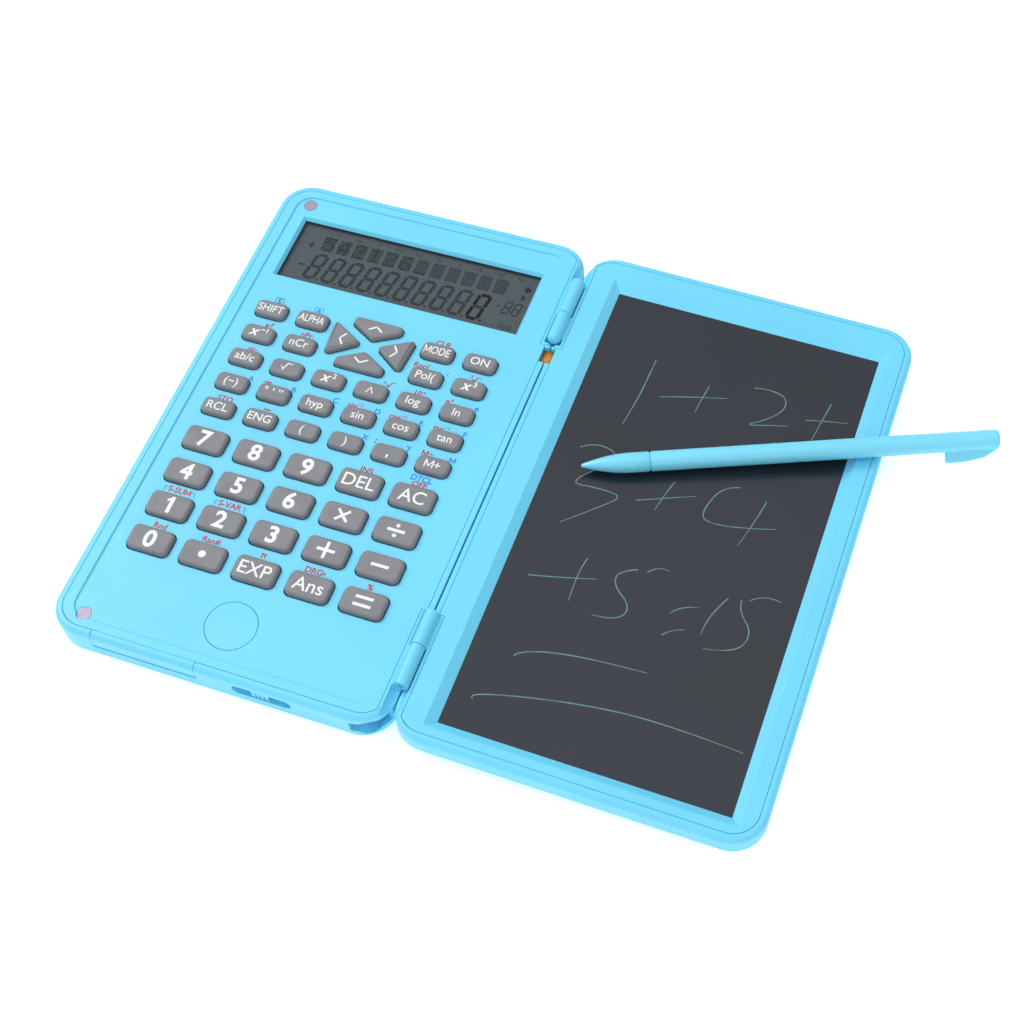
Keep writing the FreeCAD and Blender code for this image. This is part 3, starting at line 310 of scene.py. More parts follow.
# Middle of the ribbon cable between its boards: x and z from the hinge axis.
RIBBON_ROUTE = (
    (-10.1, -6.1),
    (-7.4, -5.8),
    (-4.9, -3.5),
    (-2.8, -2.95),
    (-1.4, -1.9),
    (0.0, -1.62),
    (1.4, -1.9),
    (2.8, -2.85),
    (4.9, -3.3),
    (7.1, -4.7),
    (9.5, -4.6),
)
RIBBON_THICKNESS, RIBBON_REACH = 0.2, 3.0

# Lamps: name, place, size and share of the power, all turned to one point.  Metres.
LAMPS = (
    ("Main softbox", (-2.0, 0.7, 2.2), 1.4, 1.0),
    ("Front softbox", (0.8, -2.2, 1.2), 1.6, 0.2),
)
LAMP_AIM = (0.06, 0.0, 0.0)
FLOOR_REACH = 20.0

# Heights on the sky's unit ball between which it grows from its side light to its top light.
SKY_LOW, SKY_HIGH = 0.6, 0.97


# ---------------------------------------------------------------- settings


def length(name, default, text, low=0.0):
    """A length in millimetres that a user may change."""
    return FloatProperty(name=name, description=text + ", in millimetres", default=default, min=low)


def colour(name, default, text):
    """A linear colour that a user may change."""
    return FloatVectorProperty(
        name=name, description=text, default=default, subtype="COLOR", size=3, min=0.0, max=1.0
    )


class ShellSettings(bpy.types.PropertyGroup):
    tint: colour("Tint", (0.150, 0.640, 0.900), "Colour of the moulded case")
    easing: length("Easing", 0.11, "Width of the eased edges of the mouldings")
    roughness: FloatProperty(
        name="Roughness", description="Sheen of the mouldings", default=0.42, subtype="FACTOR"
    )
    grain: length("Grain", 0.012, "Depth of the moulded grain")


class KeySettings(bpy.types.PropertyGroup):
    tint: colour("Tint", (0.205, 0.210, 0.230), "Colour of the keys")
    ink: colour("Ink", (0.860, 0.870, 0.880), "Colour of the printed legends")
    corner: length("Corner", 1.8, "Corners of the keys seen from above")
    cursor_corner: length("Cursor corner", 1.1, "Corners of the cursor keys seen from above")
    edge: length("Edge", 0.9, "Rolled upper edges of the keys")
    flange: length("Flange", 0.6, "Flange that keeps a key under the face plate")
    flange_height: length("Flange height", 0.85, "Thickness of the flange")
    small_height: length("Small legends", 2.55, "Capitals on the function keys")
    widest: length("Widest legend", 7.9, "Longest legend on a function key")
    pitch: length("Pitch", 13.24, "Distance between the columns of function keys")


class CaptionSettings(bpy.types.PropertyGroup):
    red: colour("Red", (0.500, 0.012, 0.022), "Ink of the shifted functions")
    blue: colour("Blue", (0.004, 0.230, 0.720), "Ink of the letters")
    dark: colour("Dark", (0.060, 0.090, 0.160), "Ink of the shift mark")
    height: length("Height", 1.75, "Capitals of the captions")


class DisplaySettings(bpy.types.PropertyGroup):
    panel: colour("Panel", (0.084, 0.113, 0.128), "Back of the liquid crystal panel")
    resting: colour("Resting", (0.044, 0.056, 0.066), "Segments that are switched off")
    lit: colour("Lit", (0.009, 0.009, 0.010), "Segments that are switched on")
    slant: FloatProperty(
        name="Slant",
        description="Lean of the digits",
        default=math.radians(9.0),
        subtype="ANGLE",
        unit="ROTATION",
    )
    bar: length("Bar", 1.1, "Width of a digit's bars")


class TabletSettings(bpy.types.PropertyGroup):
    film: colour("Film", (0.013, 0.017, 0.027), "Colour of the blank writing film")
    trace: colour("Trace", (0.120, 0.270, 0.250), "Colour of the written strokes")
    stroke: length("Stroke", 0.19, "Half width of a written stroke")


class StylusSettings(bpy.types.PropertyGroup):
    tint: colour("Tint", (0.185, 0.680, 0.910), "Colour of the stylus")
    radius: length("Radius", 2.8, "Half thickness of the barrel")
    full: length("Length", 114.0, "Whole length")
    tip: length("Tip", 19.0, "Nose to the groove")
    taper: length("Taper", 13.0, "Tapered stretch of the tip")
    nose: length("Nose", 0.6, "Radius of the nose")
    fin: length("Fin", 14.6, "Length of the lifting fin")
    fin_depth: length("Fin depth", 5.8, "Middle of the barrel to the fin's edge")
    fin_width: length("Fin width", 2.4, "Thickness of the fin")
    facets: IntProperty(name="Facets", description="Faces round the barrel", default=56, min=12)


class StageSettings(bpy.types.PropertyGroup):
    eye: FloatVectorProperty(
        name="Eye",
        description="Place of the camera",
        default=(0.17252, -0.24210, 0.41348),
        subtype="XYZ",
        unit="LENGTH",
        size=3,
    )
    aim: FloatVectorProperty(
        name="Aim",
        description="Turn of the camera",
        default=tuple(math.radians(turn) for turn in (32.339, 3.840, 20.301)),
        subtype="EULER",
        unit="ROTATION",
        size=3,
    )
    lens: FloatProperty(
        name="Lens", description="Focal length", default=62.04, subtype="DISTANCE_CAMERA"
    )
    horizon: FloatProperty(name="Horizon", description="Light from the sides", default=0.55)
    zenith: FloatProperty(name="Zenith", description="Light from overhead", default=1.15)
    softbox: FloatProperty(
        name="Softbox", description="Power of the large lamp", default=45.0, unit="POWER"
    )
    floor: colour("Floor", (0.90, 0.90, 0.90), "Colour of the floor")
    glow: FloatProperty(name="Glow", description="Light that the floor gives off", default=0.45)


# ---------------------------------------------------------------- materials


def plain_material(name, tint, roughness, metallic=0.0):
    """A material whose shader has its even values set, and nothing wired to it yet."""
    material = bpy.data.materials.new(name)
    material.use_nodes = True
    shader = material.node_tree.nodes["Principled BSDF"]
    shader.inputs["Base Color"].default_value = (*tint, 1.0)
    shader.inputs["Roughness"].default_value = roughness
    shader.inputs["Metallic"].default_value = metallic
    material.diffuse_color = (*tint, 1.0)
    return material


def add_node(tree, kind, values, source=None, entry="Vector"):
    """A node with some inputs set, and its entry wired to a source."""
    node = tree.nodes.new(kind)
    for name, value in values.items():
        node.inputs[name].default_value = value
    if source:
        tree.links.new(source, node.inputs[entry])
    return node


def wire(material, source, entry):
    """Leads a source to one of the shader's inputs."""
    tree = material.node_tree
    tree.links.new(source, tree.nodes["Principled BSDF"].inputs[entry])


def place_on(tree):
    """Places that lie still on the piece."""
    return tree.nodes.new("ShaderNodeTexCoord").outputs["Object"]


def noise_of(material, scale, detail=3.0, stretch=(1.0, 1.0, 1.0)):
    """Noise that lies still on the piece, finer with a larger scale."""
    tree = material.node_tree
    mapping = add_node(tree, "ShaderNodeMapping", {"Scale": stretch}, place_on(tree))
    values = {"Scale": scale, "Detail": detail}
    return add_node(tree, "ShaderNodeTexNoise", values, mapping.outputs["Vector"]).outputs["Fac"]


def cloud_tint(material, source, first, second, low=0.35, high=0.65):
    """The base colour drifts between two tints."""
    ramp = add_node(material.node_tree, "ShaderNodeValToRGB", {}, source, "Fac")
    ramp.color_ramp.elements[0].position = low
    ramp.color_ramp.elements[0].color = (*first, 1.0)
    ramp.color_ramp.elements[1].position = high
    ramp.color_ramp.elements[1].color = (*second, 1.0)
    wire(material, ramp.outputs["Color"], "Base Color")


def cloud_sheen(material, source, low, high):
    """The roughness drifts between two values."""
    values = {"From Min": 0.3, "From Max": 0.7, "To Min": low, "To Max": high}
    spread = add_node(material.node_tree, "ShaderNodeMapRange", values, source, "Value")
    wire(material, spread.outputs["Result"], "Roughness")


def relief(material, source, depth, strength=1.0):
    """The surface rises and falls by that depth."""
    values = {"Distance": depth, "Strength": strength}
    bump = add_node(material.node_tree, "ShaderNodeBump", values, source, "Height")
    wire(material, bump.outputs["Normal"], "Normal")


def shaded(tint, factor):
    """A tint made lighter or darker."""
    return tuple(min(1.0, part * factor) for part in tint)


def moulded_plastic(name, tint, roughness, grain):
    """Satin moulded plastic: fine grain, and a faint drift in colour and sheen."""
    material = plain_material(name, tint, roughness)
    cloud_tint(material, noise_of(material, 35.0), shaded(tint, 0.975), shaded(tint, 1.02))
    cloud_sheen(material, noise_of(material, 120.0, 5.0), roughness - 0.05, roughness + 0.06)
    relief(material, noise_of(material, 3200.0, 2.0), grain, 0.35)
    return material


def printing_ink(name, tint, gloss=0.5):
    """A thin layer of ink with a slightly uneven cover."""
    material = plain_material(name, tint, 0.5)
    material.node_tree.nodes["Principled BSDF"].inputs["Specular IOR Level"].default_value = gloss
    cloud_tint(material, noise_of(material, 1800.0), shaded(tint, 0.9), tint)
    relief(material, noise_of(material, 5000.0), 0.004 * MM, 0.4)
    return material


def metal(name, tint, roughness, stretch=(1.0, 1.0, 1.0)):
    """Plated metal with fine drawn lines."""
    material = plain_material(name, tint, roughness, 1.0)
    lines = noise_of(material, 1500.0, 4.0, stretch)
    cloud_tint(material, lines, shaded(tint, 0.86), tint)
    cloud_sheen(material, lines, roughness - 0.06, roughness + 0.1)
    relief(material, lines, 0.006 * MM, 0.3)
    return material


def silicone(name, tint):
    """Soft rubber with a dusty sheen."""
    material = plain_material(name, tint, 0.55)
    cloud_tint(material, noise_of(material, 160.0), shaded(tint, 0.94), shaded(tint, 1.05))
    cloud_sheen(material, noise_of(material, 500.0, 4.0), 0.48, 0.62)
    relief(material, noise_of(material, 4200.0, 2.0), 0.01 * MM, 0.4)
    return material


def writing_film(name, tint):
    """The tablet's dark pressure film: glossy, barely uneven, with a faint green cast."""
    material = plain_material(name, tint, 0.2)
    cloud_tint(
        material,
        noise_of(material, 14.0, 5.0),
        shaded(tint, 0.88),
        (tint[0] * 1.1, tint[1] * 1.16, tint[2] * 1.12),
    )
    cloud_sheen(material, noise_of(material, 90.0, 5.0), 0.16, 0.26)
    relief(material, noise_of(material, 700.0, 3.0), 0.004 * MM, 0.25)
    return material


def display_back(name, tint):
    """The reflective back of the display, finely speckled."""
    material = plain_material(name, tint, 0.45)
    cloud_tint(material, noise_of(material, 2600.0, 2.0), shaded(tint, 0.93), shaded(tint, 1.07))
    relief(material, noise_of(material, 3000.0, 2.0), 0.003 * MM, 0.4)
    return material


def clear_window(name):
    """The display's clear window, thin enough to see straight through."""
    material = plain_material(name, (0.02, 0.03, 0.035), 0.06)
    material.node_tree.nodes["Principled BSDF"].inputs["Alpha"].default_value = 0.12
    cloud_sheen(material, noise_of(material, 60.0, 5.0), 0.04, 0.09)
    return material


def circuit_laminate(name):
    """Green laminate with paler tracks under the lacquer."""
    material = plain_material(name, (0.03, 0.20, 0.09), 0.35)
    tree = material.node_tree
    values = {
        "Scale": 260.0,
        "Color1": (0.025, 0.19, 0.08, 1.0),
        "Color2": (0.030, 0.22, 0.09, 1.0),
        "Mortar": (0.07, 0.34, 0.15, 1.0),
        "Mortar Size": 0.03,
    }
    tracks = add_node(tree, "ShaderNodeTexBrick", values, place_on(tree))
    wire(material, tracks.outputs["Color"], "Base Color")
    relief(material, tracks.outputs["Fac"], 0.02 * MM, 0.6)
    return material


def ribbon_film(name):
    """Amber polyimide with copper tracks along the ribbon."""
    material = plain_material(name, (0.62, 0.22, 0.02), 0.28)
    tree = material.node_tree
    values = {"Scale": 420.0, "Distortion": 0.0}
    tracks = add_node(tree, "ShaderNodeTexWave", values, place_on(tree))
    tracks.bands_direction = "Y"
    cloud_tint(material, tracks.outputs["Fac"], (0.42, 0.13, 0.01), (0.80, 0.38, 0.06))
    relief(material, tracks.outputs["Fac"], 0.03 * MM, 0.5)
    return material


# ---------------------------------------------------------------- modelling


def put(name, data):
    """A new object in the scene that holds the data."""
    holder = bpy.data.objects.new(name, data)
    bpy.context.scene.collection.objects.link(holder)
    return holder


def finished(name, shape, materials, body, stands_for=()):
    """Turns a bmesh into a piece that rides on a body and may stand for CAD nodes."""
    mesh = bpy.data.meshes.new(name)
    shape.to_mesh(mesh)
    shape.free()
    for material in materials:
        mesh.materials.append(material)
    piece = put(name, mesh)
    if body:
        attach(piece, body)
    if stands_for:
        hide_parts(*stands_for)
    return piece


def rounded(shape, edges, width, segments):
    """Rounds edges off over a width and returns the new faces."""
    made = bmesh.ops.bevel(
        shape,
        geom=edges,
        offset=width,
        offset_type="OFFSET",
        segments=segments,
        profile=0.5,
        affect="EDGES",
        material=-1,
    )
    return made["faces"]


def smooth_all(faces):
    """Shades faces as one rounded surface."""
    for face in faces:
        face.smooth = True


def keep_flats(piece):
    """Shades the broad faces of a piece flat and its narrow ones round."""
    flats = piece.modifiers.new("Flats", "WEIGHTED_NORMAL")
    flats.keep_sharp = True


def add_spline(curve, corners, resolution):
    """A smooth run along corners, added to a curve."""
    spline = curve.splines.new("NURBS")
    spline.points.add(len(corners) - 1)
    for point, (x, y) in zip(spline.points, corners):
        point.co = (x, y, 0.0, 1.0)
        point.radius = 1.0
    spline.order_u = 3
    spline.use_endpoint_u = True
    spline.resolution_u = resolution
    return spline


def mesh_of(curve):
    """The mesh of a curve or a text, which is taken away."""
    holder = put(curve.name, curve)
    mesh = bpy.data.meshes.new_from_object(holder)
    bpy.data.objects.remove(holder)
    bpy.data.curves.remove(curve)
    return mesh


def merged_copy(node):
    """A copy of a CAD moulding, in millimetres, with its flats joined up."""
    shape = bmesh.new()
    shape.from_mesh(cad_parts[node].data)
    bmesh.ops.scale(shape, verts=shape.verts, vec=(1 / MM, 1 / MM, 1 / MM))
    bmesh.ops.remove_doubles(shape, verts=shape.verts, dist=0.001)
    bmesh.ops.join_triangles(
        shape,
        faces=shape.faces,
        angle_face_threshold=math.radians(0.5),
        angle_shape_threshold=math.pi,
    )
    for face in shape.faces:
        level = [edge for edge in face.edges if edge.calc_face_angle(1.0) < LEVEL]
        face.smooth = not level
        face.material_index = 0
    return shape


def eased_piece(node, body, material, width):
    """The piece that stands for a moulded CAD node, its edges eased and its flats kept flat."""
    shape = merged_copy(node)
    rims = [edge for edge in shape.edges if edge.calc_face_angle(0.0) > SHARP]
    smooth_all(rounded(shape, rims, width / MM, 2))
    bmesh.ops.scale(shape, verts=shape.verts, vec=(MM, MM, MM))
    keep_flats(finished(node + "_moulding", shape, [material], body, (node,)))


def grown(corners, by):
    """A convex outline moved outwards by a distance, its corners kept sharp."""
    points = [Vector(corner) for corner in corners]
    moved = []
    for index, point in enumerate(points):
        before = (point - points[index - 1]).normalized()
        after = (points[(index + 1) % len(points)] - point).normalized()
        first = Vector((before.y, -before.x))
        second = Vector((after.y, -after.x))
        moved.append(point + (first + second) * (by / (1 + first.dot(second))))
    return moved


def highest_face(faces):
    """The level face at the top."""
    return max(faces, key=lambda face: (round(face.calc_center_median().z, 7), face.calc_area()))


def lifted(shape, face, height):
    """Draws a face up and returns the new top face."""
    drawn = bmesh.ops.extrude_face_region(shape, geom=[face])["geom"]
    corners = [part for part in drawn if isinstance(part, bmesh.types.BMVert)]
    bmesh.ops.translate(shape, verts=corners, vec=(0.0, 0.0, height))
    return next(part for part in drawn if isinstance(part, bmesh.types.BMFace))


def upright_edges(shape, least):
    """The edges that rise by more than a height."""
    return [edge for edge in shape.edges if abs(edge.verts[0].co.z - edge.verts[1].co.z) > least]


def key_shape(corners, low, high, radius, settings):
    """One key: a flange, a cap with round corners and a rolled upper edge.

    The corners are the centres of the cap's round corners, anticlockwise."""
    shape = bmesh.new()
    flange = settings.flange * MM
    rise = settings.flange_height * MM
    base = [shape.verts.new((*corner, low)) for corner in grown(corners, radius + flange)]
    top = lifted(shape, shape.faces.new(base), rise)
    bmesh.ops.recalc_face_normals(shape, faces=shape.faces)
    for edge in upright_edges(shape, rise / 2):
        rounded(shape, [edge], (radius + flange) * math.tan(edge.calc_face_angle() / 2), 8)
    top = highest_face(shape.faces)
    bmesh.ops.inset_region(shape, faces=[top], thickness=flange, use_even_offset=True)
    top = lifted(shape, top, high - low - rise)
    rounded(shape, list(top.edges), settings.edge * MM, 6)
    smooth_all(shape.faces)
    highest_face(shape.faces).smooth = False
    return shape


def add_shape(whole, part):
    """Adds one bmesh to another and frees it."""
    mesh = bpy.data.meshes.new("part")
    part.to_mesh(mesh)
    part.free()
    whole.from_mesh(mesh)
    bpy.data.meshes.remove(mesh)


def bar_shape(start, end, width, depth):
    """A bar of even width between two points, halfway through the level zero."""
    along = Vector(end) - Vector(start)
    middle = (Vector(end) + Vector(start)) / 2
    shape = bmesh.new()
    place = (
        Matrix.Translation((middle.x, middle.y, 0.0))
        @ Matrix.Rotation(math.atan2(along.y, along.x), 4, "Z")
        @ Matrix.Diagonal((along.length, width, depth, 1.0))
    )
    bmesh.ops.create_cube(shape, size=1.0, matrix=place)
    return shape


def drawn_sign(strokes, width):
    """A sign made of straight strokes, each a little thicker than the last so that none coincide."""
    whole = bmesh.new()
    for index, (start, end) in enumerate(strokes):
        add_shape(whole, bar_shape(Vector(start), Vector(end), width, 1.0 + 0.06 * index))
    mesh = bpy.data.meshes.new("lettering")
    whole.to_mesh(mesh)
    whole.free()
    return mesh


def text_mesh(words, weight, slant):
    """Solid lettering one unit thick, set at size one from the left."""
    if words in DRAWN_SIGNS:
        return drawn_sign(DRAWN_SIGNS[words], STROKE_WIDTH + 2 * weight)
    text = bpy.data.curves.new("lettering", "FONT")
    text.body = words
    text.offset = weight
    text.shear = slant
    text.extrude = 0.5
    text.resolution_u = 5
    mesh = mesh_of(text)
    if words in ADDED_STROKES:
        right = max(vertex.co.x for vertex in mesh.vertices)
        top = max(vertex.co.y for vertex in mesh.vertices)
        start, end, width = ADDED_STROKES[words]
        corner = Vector((right, top))
        whole = bar_shape(corner + Vector(start), corner + Vector(end), width, 1.08)
        whole.from_mesh(mesh)
        whole.to_mesh(mesh)
        whole.free()
    return mesh


def print_legend(shape, legend, style, middle, height, ink, surface, widest=40.0):
    """Prints a legend about a point on a level surface, each run set after the last.

    A bare word is set in the style given.  A legend that would be too long is set narrower."""
    runs = ((legend, style),) if isinstance(legend, str) else legend
    scale = height * MM / CAP_HEIGHT
    pen, laid = 0.0, []
    for words, manner in runs:
        size, lift, slant, weight = STYLES[manner]
        mesh = text_mesh(words, weight, slant)
        left = min(vertex.co.x for vertex in mesh.vertices)
        right = max(vertex.co.x for vertex in mesh.vertices)
        mesh.transform(Matrix.Translation((-left, 0.0, 0.0)))
        mesh.transform(Matrix.Diagonal((size, size, 1.0, 1.0)))
        mesh.transform(Matrix.Translation((pen, lift * CAP_HEIGHT, 0.0)))
        pen += (right - left) * size + LETTER_GAP
        laid.append(mesh)
    heights = [vertex.co.y for mesh in laid for vertex in mesh.vertices]
    centre = CAP_HEIGHT / 2
    if runs[0][1] == "sign":
        centre = (min(heights) + max(heights)) / 2
    across = min(scale, widest * MM / (pen - LETTER_GAP))
    for mesh in laid:
        mesh.transform(Matrix.Translation((-(pen - LETTER_GAP) / 2, -centre, 0.0)))
        mesh.transform(Matrix.Diagonal((across, scale, INK_DEPTH, 1.0)))
        mesh.transform(Matrix.Translation((middle[0], middle[1], surface + INK_RISE)))
        for face in mesh.polygons:
            face.material_index = ink
        shape.from_mesh(mesh)
        bpy.data.meshes.remove(mesh)


def thin_bar(shape, start, end, width, surface, ink, point=0.0):
    """Adds a flat printed bar between two points, with its ends cut to points."""
    bar = bar_shape(Vector(start) / MM, Vector(end) / MM, width / MM, INK_DEPTH / MM)
    if point:
        rounded(bar, upright_edges(bar, INK_DEPTH / MM / 2), point / MM, 1)
    for face in bar.faces:
        face.material_index = ink
    bmesh.ops.scale(bar, verts=bar.verts, vec=(MM, MM, MM))
    bmesh.ops.translate(bar, verts=bar.verts, vec=(0.0, 0.0, surface + INK_RISE))
    add_shape(shape, bar)


def on_calculator(x, y):
    """A point of the calculator, in metres, from its distances to the hinge axis in millimetres."""
    return Vector((HINGE.x + x * MM, y * MM))


def paint(node, material):
    """Gives a CAD node its finish."""
    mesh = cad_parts[node].data
    mesh.materials.clear()
    mesh.materials.append(material)


# ---------------------------------------------------------------- operators


class CALCULATOR_OT_mouldings(bpy.types.Operator):
    """Case, face plate, tablet, bezel, battery drawer, lock slider and erase button"""

    bl_idname = "calculator.mouldings"
    bl_label = "Mouldings"

    def execute(self, context):
        shell = context.scene.calculator_shell
        plastic = moulded_plastic("Cyan moulding", shell.tint, shell.roughness, shell.grain * MM)
        for node, body in MOULDINGS:
            eased_piece(node, body, plastic, shell.easing * MM)
        dull = metal("Dull plating", (0.34, 0.32, 0.42), 0.5)
        eased_piece("closure_magnets", "calculator", dull, MAGNET_EASING * MM)
        return {"FINISHED"}


class CALCULATOR_OT_keys(bpy.types.Operator):
    """Number keys, function keys and cursor keys with their legends"""

    bl_idname = "calculator.keys"
    bl_label = "Keys"

    def rectangular(self, low, high, settings):
        """A rectangular key between the outer corners of its cap."""
        radius = settings.corner * MM
        left, right = low.x + radius, high.x - radius
        front, back = low.y + radius, high.y - radius
        corners = ((left, front), (right, front), (right, back), (left, back))
        return key_shape(corners, low.z, high.z, radius, settings)

    def execute(self, context):
        settings = context.scene.calculator_keys
        rubber = silicone("Grey key rubber", settings.tint)
        ink = printing_ink("White legend ink", settings.ink)
        flange = Vector((settings.flange * MM, settings.flange * MM, 0.0))
        shift_low, shift_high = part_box("key_shift")
        width = shift_high.x - shift_low.x - 2 * flange.x
        for node, words, style, height in NUMBER_KEYS:
            low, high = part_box(node)
            shape = self.rectangular(low + flange, high - flange, settings)
            middle = (low + high) / 2
            print_legend(shape, words, style, middle, height, 1, high.z)
            finished(node + "_cap", shape, [rubber, ink], node, (node,))
        for node, keys in FUNCTION_KEYS:
            low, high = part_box(node)
            whole = bmesh.new()
            for column, legend in enumerate(keys):
                if legend is None:
                    continue
                left = low.x + flange.x + column * settings.pitch * MM
                near = Vector((left, low.y + flange.y, low.z))
                far = Vector((left + width, high.y - flange.y, high.z))
                add_shape(whole, self.rectangular(near, far, settings))
                middle = (near + far) / 2
                size, widest = settings.small_height, settings.widest
                print_legend(whole, legend, "plain", middle, size, 1, high.z, widest)
            finished(node + "_cap", whole, [rubber, ink], node, (node,))
        outlines = (
            ("cursor_up", CURSOR_UP, 1, 1, 0.0),
            ("cursor_down", CURSOR_UP, 1, -1, 180.0),
            ("cursor_left", CURSOR_LEFT, 1, 1, 90.0),
            ("cursor_right", CURSOR_LEFT, -1, 1, 270.0),
        )
        for node, outline, across, up, turn in outlines:
            self.cursor(node, outline, (across, up), turn, settings, [rubber, ink])
        return {"FINISHED"}

    def cursor(self, node, outline, mirror, turn, settings, materials):
        """One cursor key with its arrow."""
        low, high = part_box(node)
        corners = [
            on_calculator(CURSOR_CENTRE[0] + x * mirror[0], CURSOR_CENTRE[1] + y * mirror[1])
            for x, y in outline
        ]
        if mirror[0] * mirror[1] < 0:
            corners.reverse()
        shape = key_shape(corners, low.z, high.z, settings.cursor_corner * MM, settings)
        middle = (low + high) / 2
        turned = Matrix.Rotation(math.radians(turn), 2)
        tip = Vector((middle.x, middle.y)) + turned @ Vector((0.0, ARROW_TIP * MM))
        for side in (-1, 1):
            foot = tip + turned @ Vector((side * ARROW_SIDE * MM, -ARROW_BACK * MM))
            thin_bar(shape, tip, foot, ARROW_WIDTH * MM, high.z, 1)
        finished(node + "_cap", shape, materials, node, (node,))


class CALCULATOR_OT_captions(bpy.types.Operator):
    """Small captions printed on the face plate"""

    bl_idname = "calculator.captions"
    bl_label = "Captions"

    def frame_mark(self, shape, place):
        """A small square frame round a letter."""
        middle, half = on_calculator(*place), FRAME_HALF * MM
        corners = [middle + Vector(corner) * half for corner in ((-1, -1), (1, -1), (1, 1), (-1, 1))]
        for index, corner in enumerate(corners):
            thin_bar(shape, corners[index - 1], corner, FRAME_LINE * MM, FIELD_TOP, 0)

    def bracket_marks(self, shape, place):
        """Two brackets that reach down at either side of a caption."""
        for side in (-1, 1):
            corner = on_calculator(*place) + Vector((side * BRACKET_HALF * MM, 0.0))
            for reach in ((side * BRACKET_FOOT * MM, 0.0), (0.0, BRACKET_DROP * MM)):
                thin_bar(shape, corner, corner - Vector(reach), BRACKET_LINE * MM, FIELD_TOP, 0)

    def execute(self, context):
        settings = context.scene.calculator_captions
        red, blue, dark = bmesh.new(), bmesh.new(), bmesh.new()
        for shape, captions in (
            (red, RED_CAPTIONS),
            (blue, BLUE_CAPTIONS),
            (dark, (("S", *SHIFT_MARK),)),
        ):
            for legend, x, y in captions:
                place = on_calculator(x, y)
                print_legend(shape, legend, "caption", place, settings.height, 0, FIELD_TOP)
        for place in RED_DASHES:
            middle, half = on_calculator(*place), Vector((DASH_HALF * MM, 0.0))
            thin_bar(red, middle - half, middle + half, DASH_WIDTH * MM, FIELD_TOP, 0)
        self.frame_mark(blue, ALPHA_MARK)
        for place in BRACKETS:
            self.bracket_marks(blue, place)
        self.frame_mark(dark, SHIFT_MARK)
        finished("red_captions", red, [printing_ink("Red captions", settings.red)], "calculator")
        finished("blue_captions", blue, [printing_ink("Blue captions", settings.blue)], "calculator")
        finished("shift_mark", dark, [printing_ink("Shift mark ink", settings.dark)], "calculator")
        return {"FINISHED"}


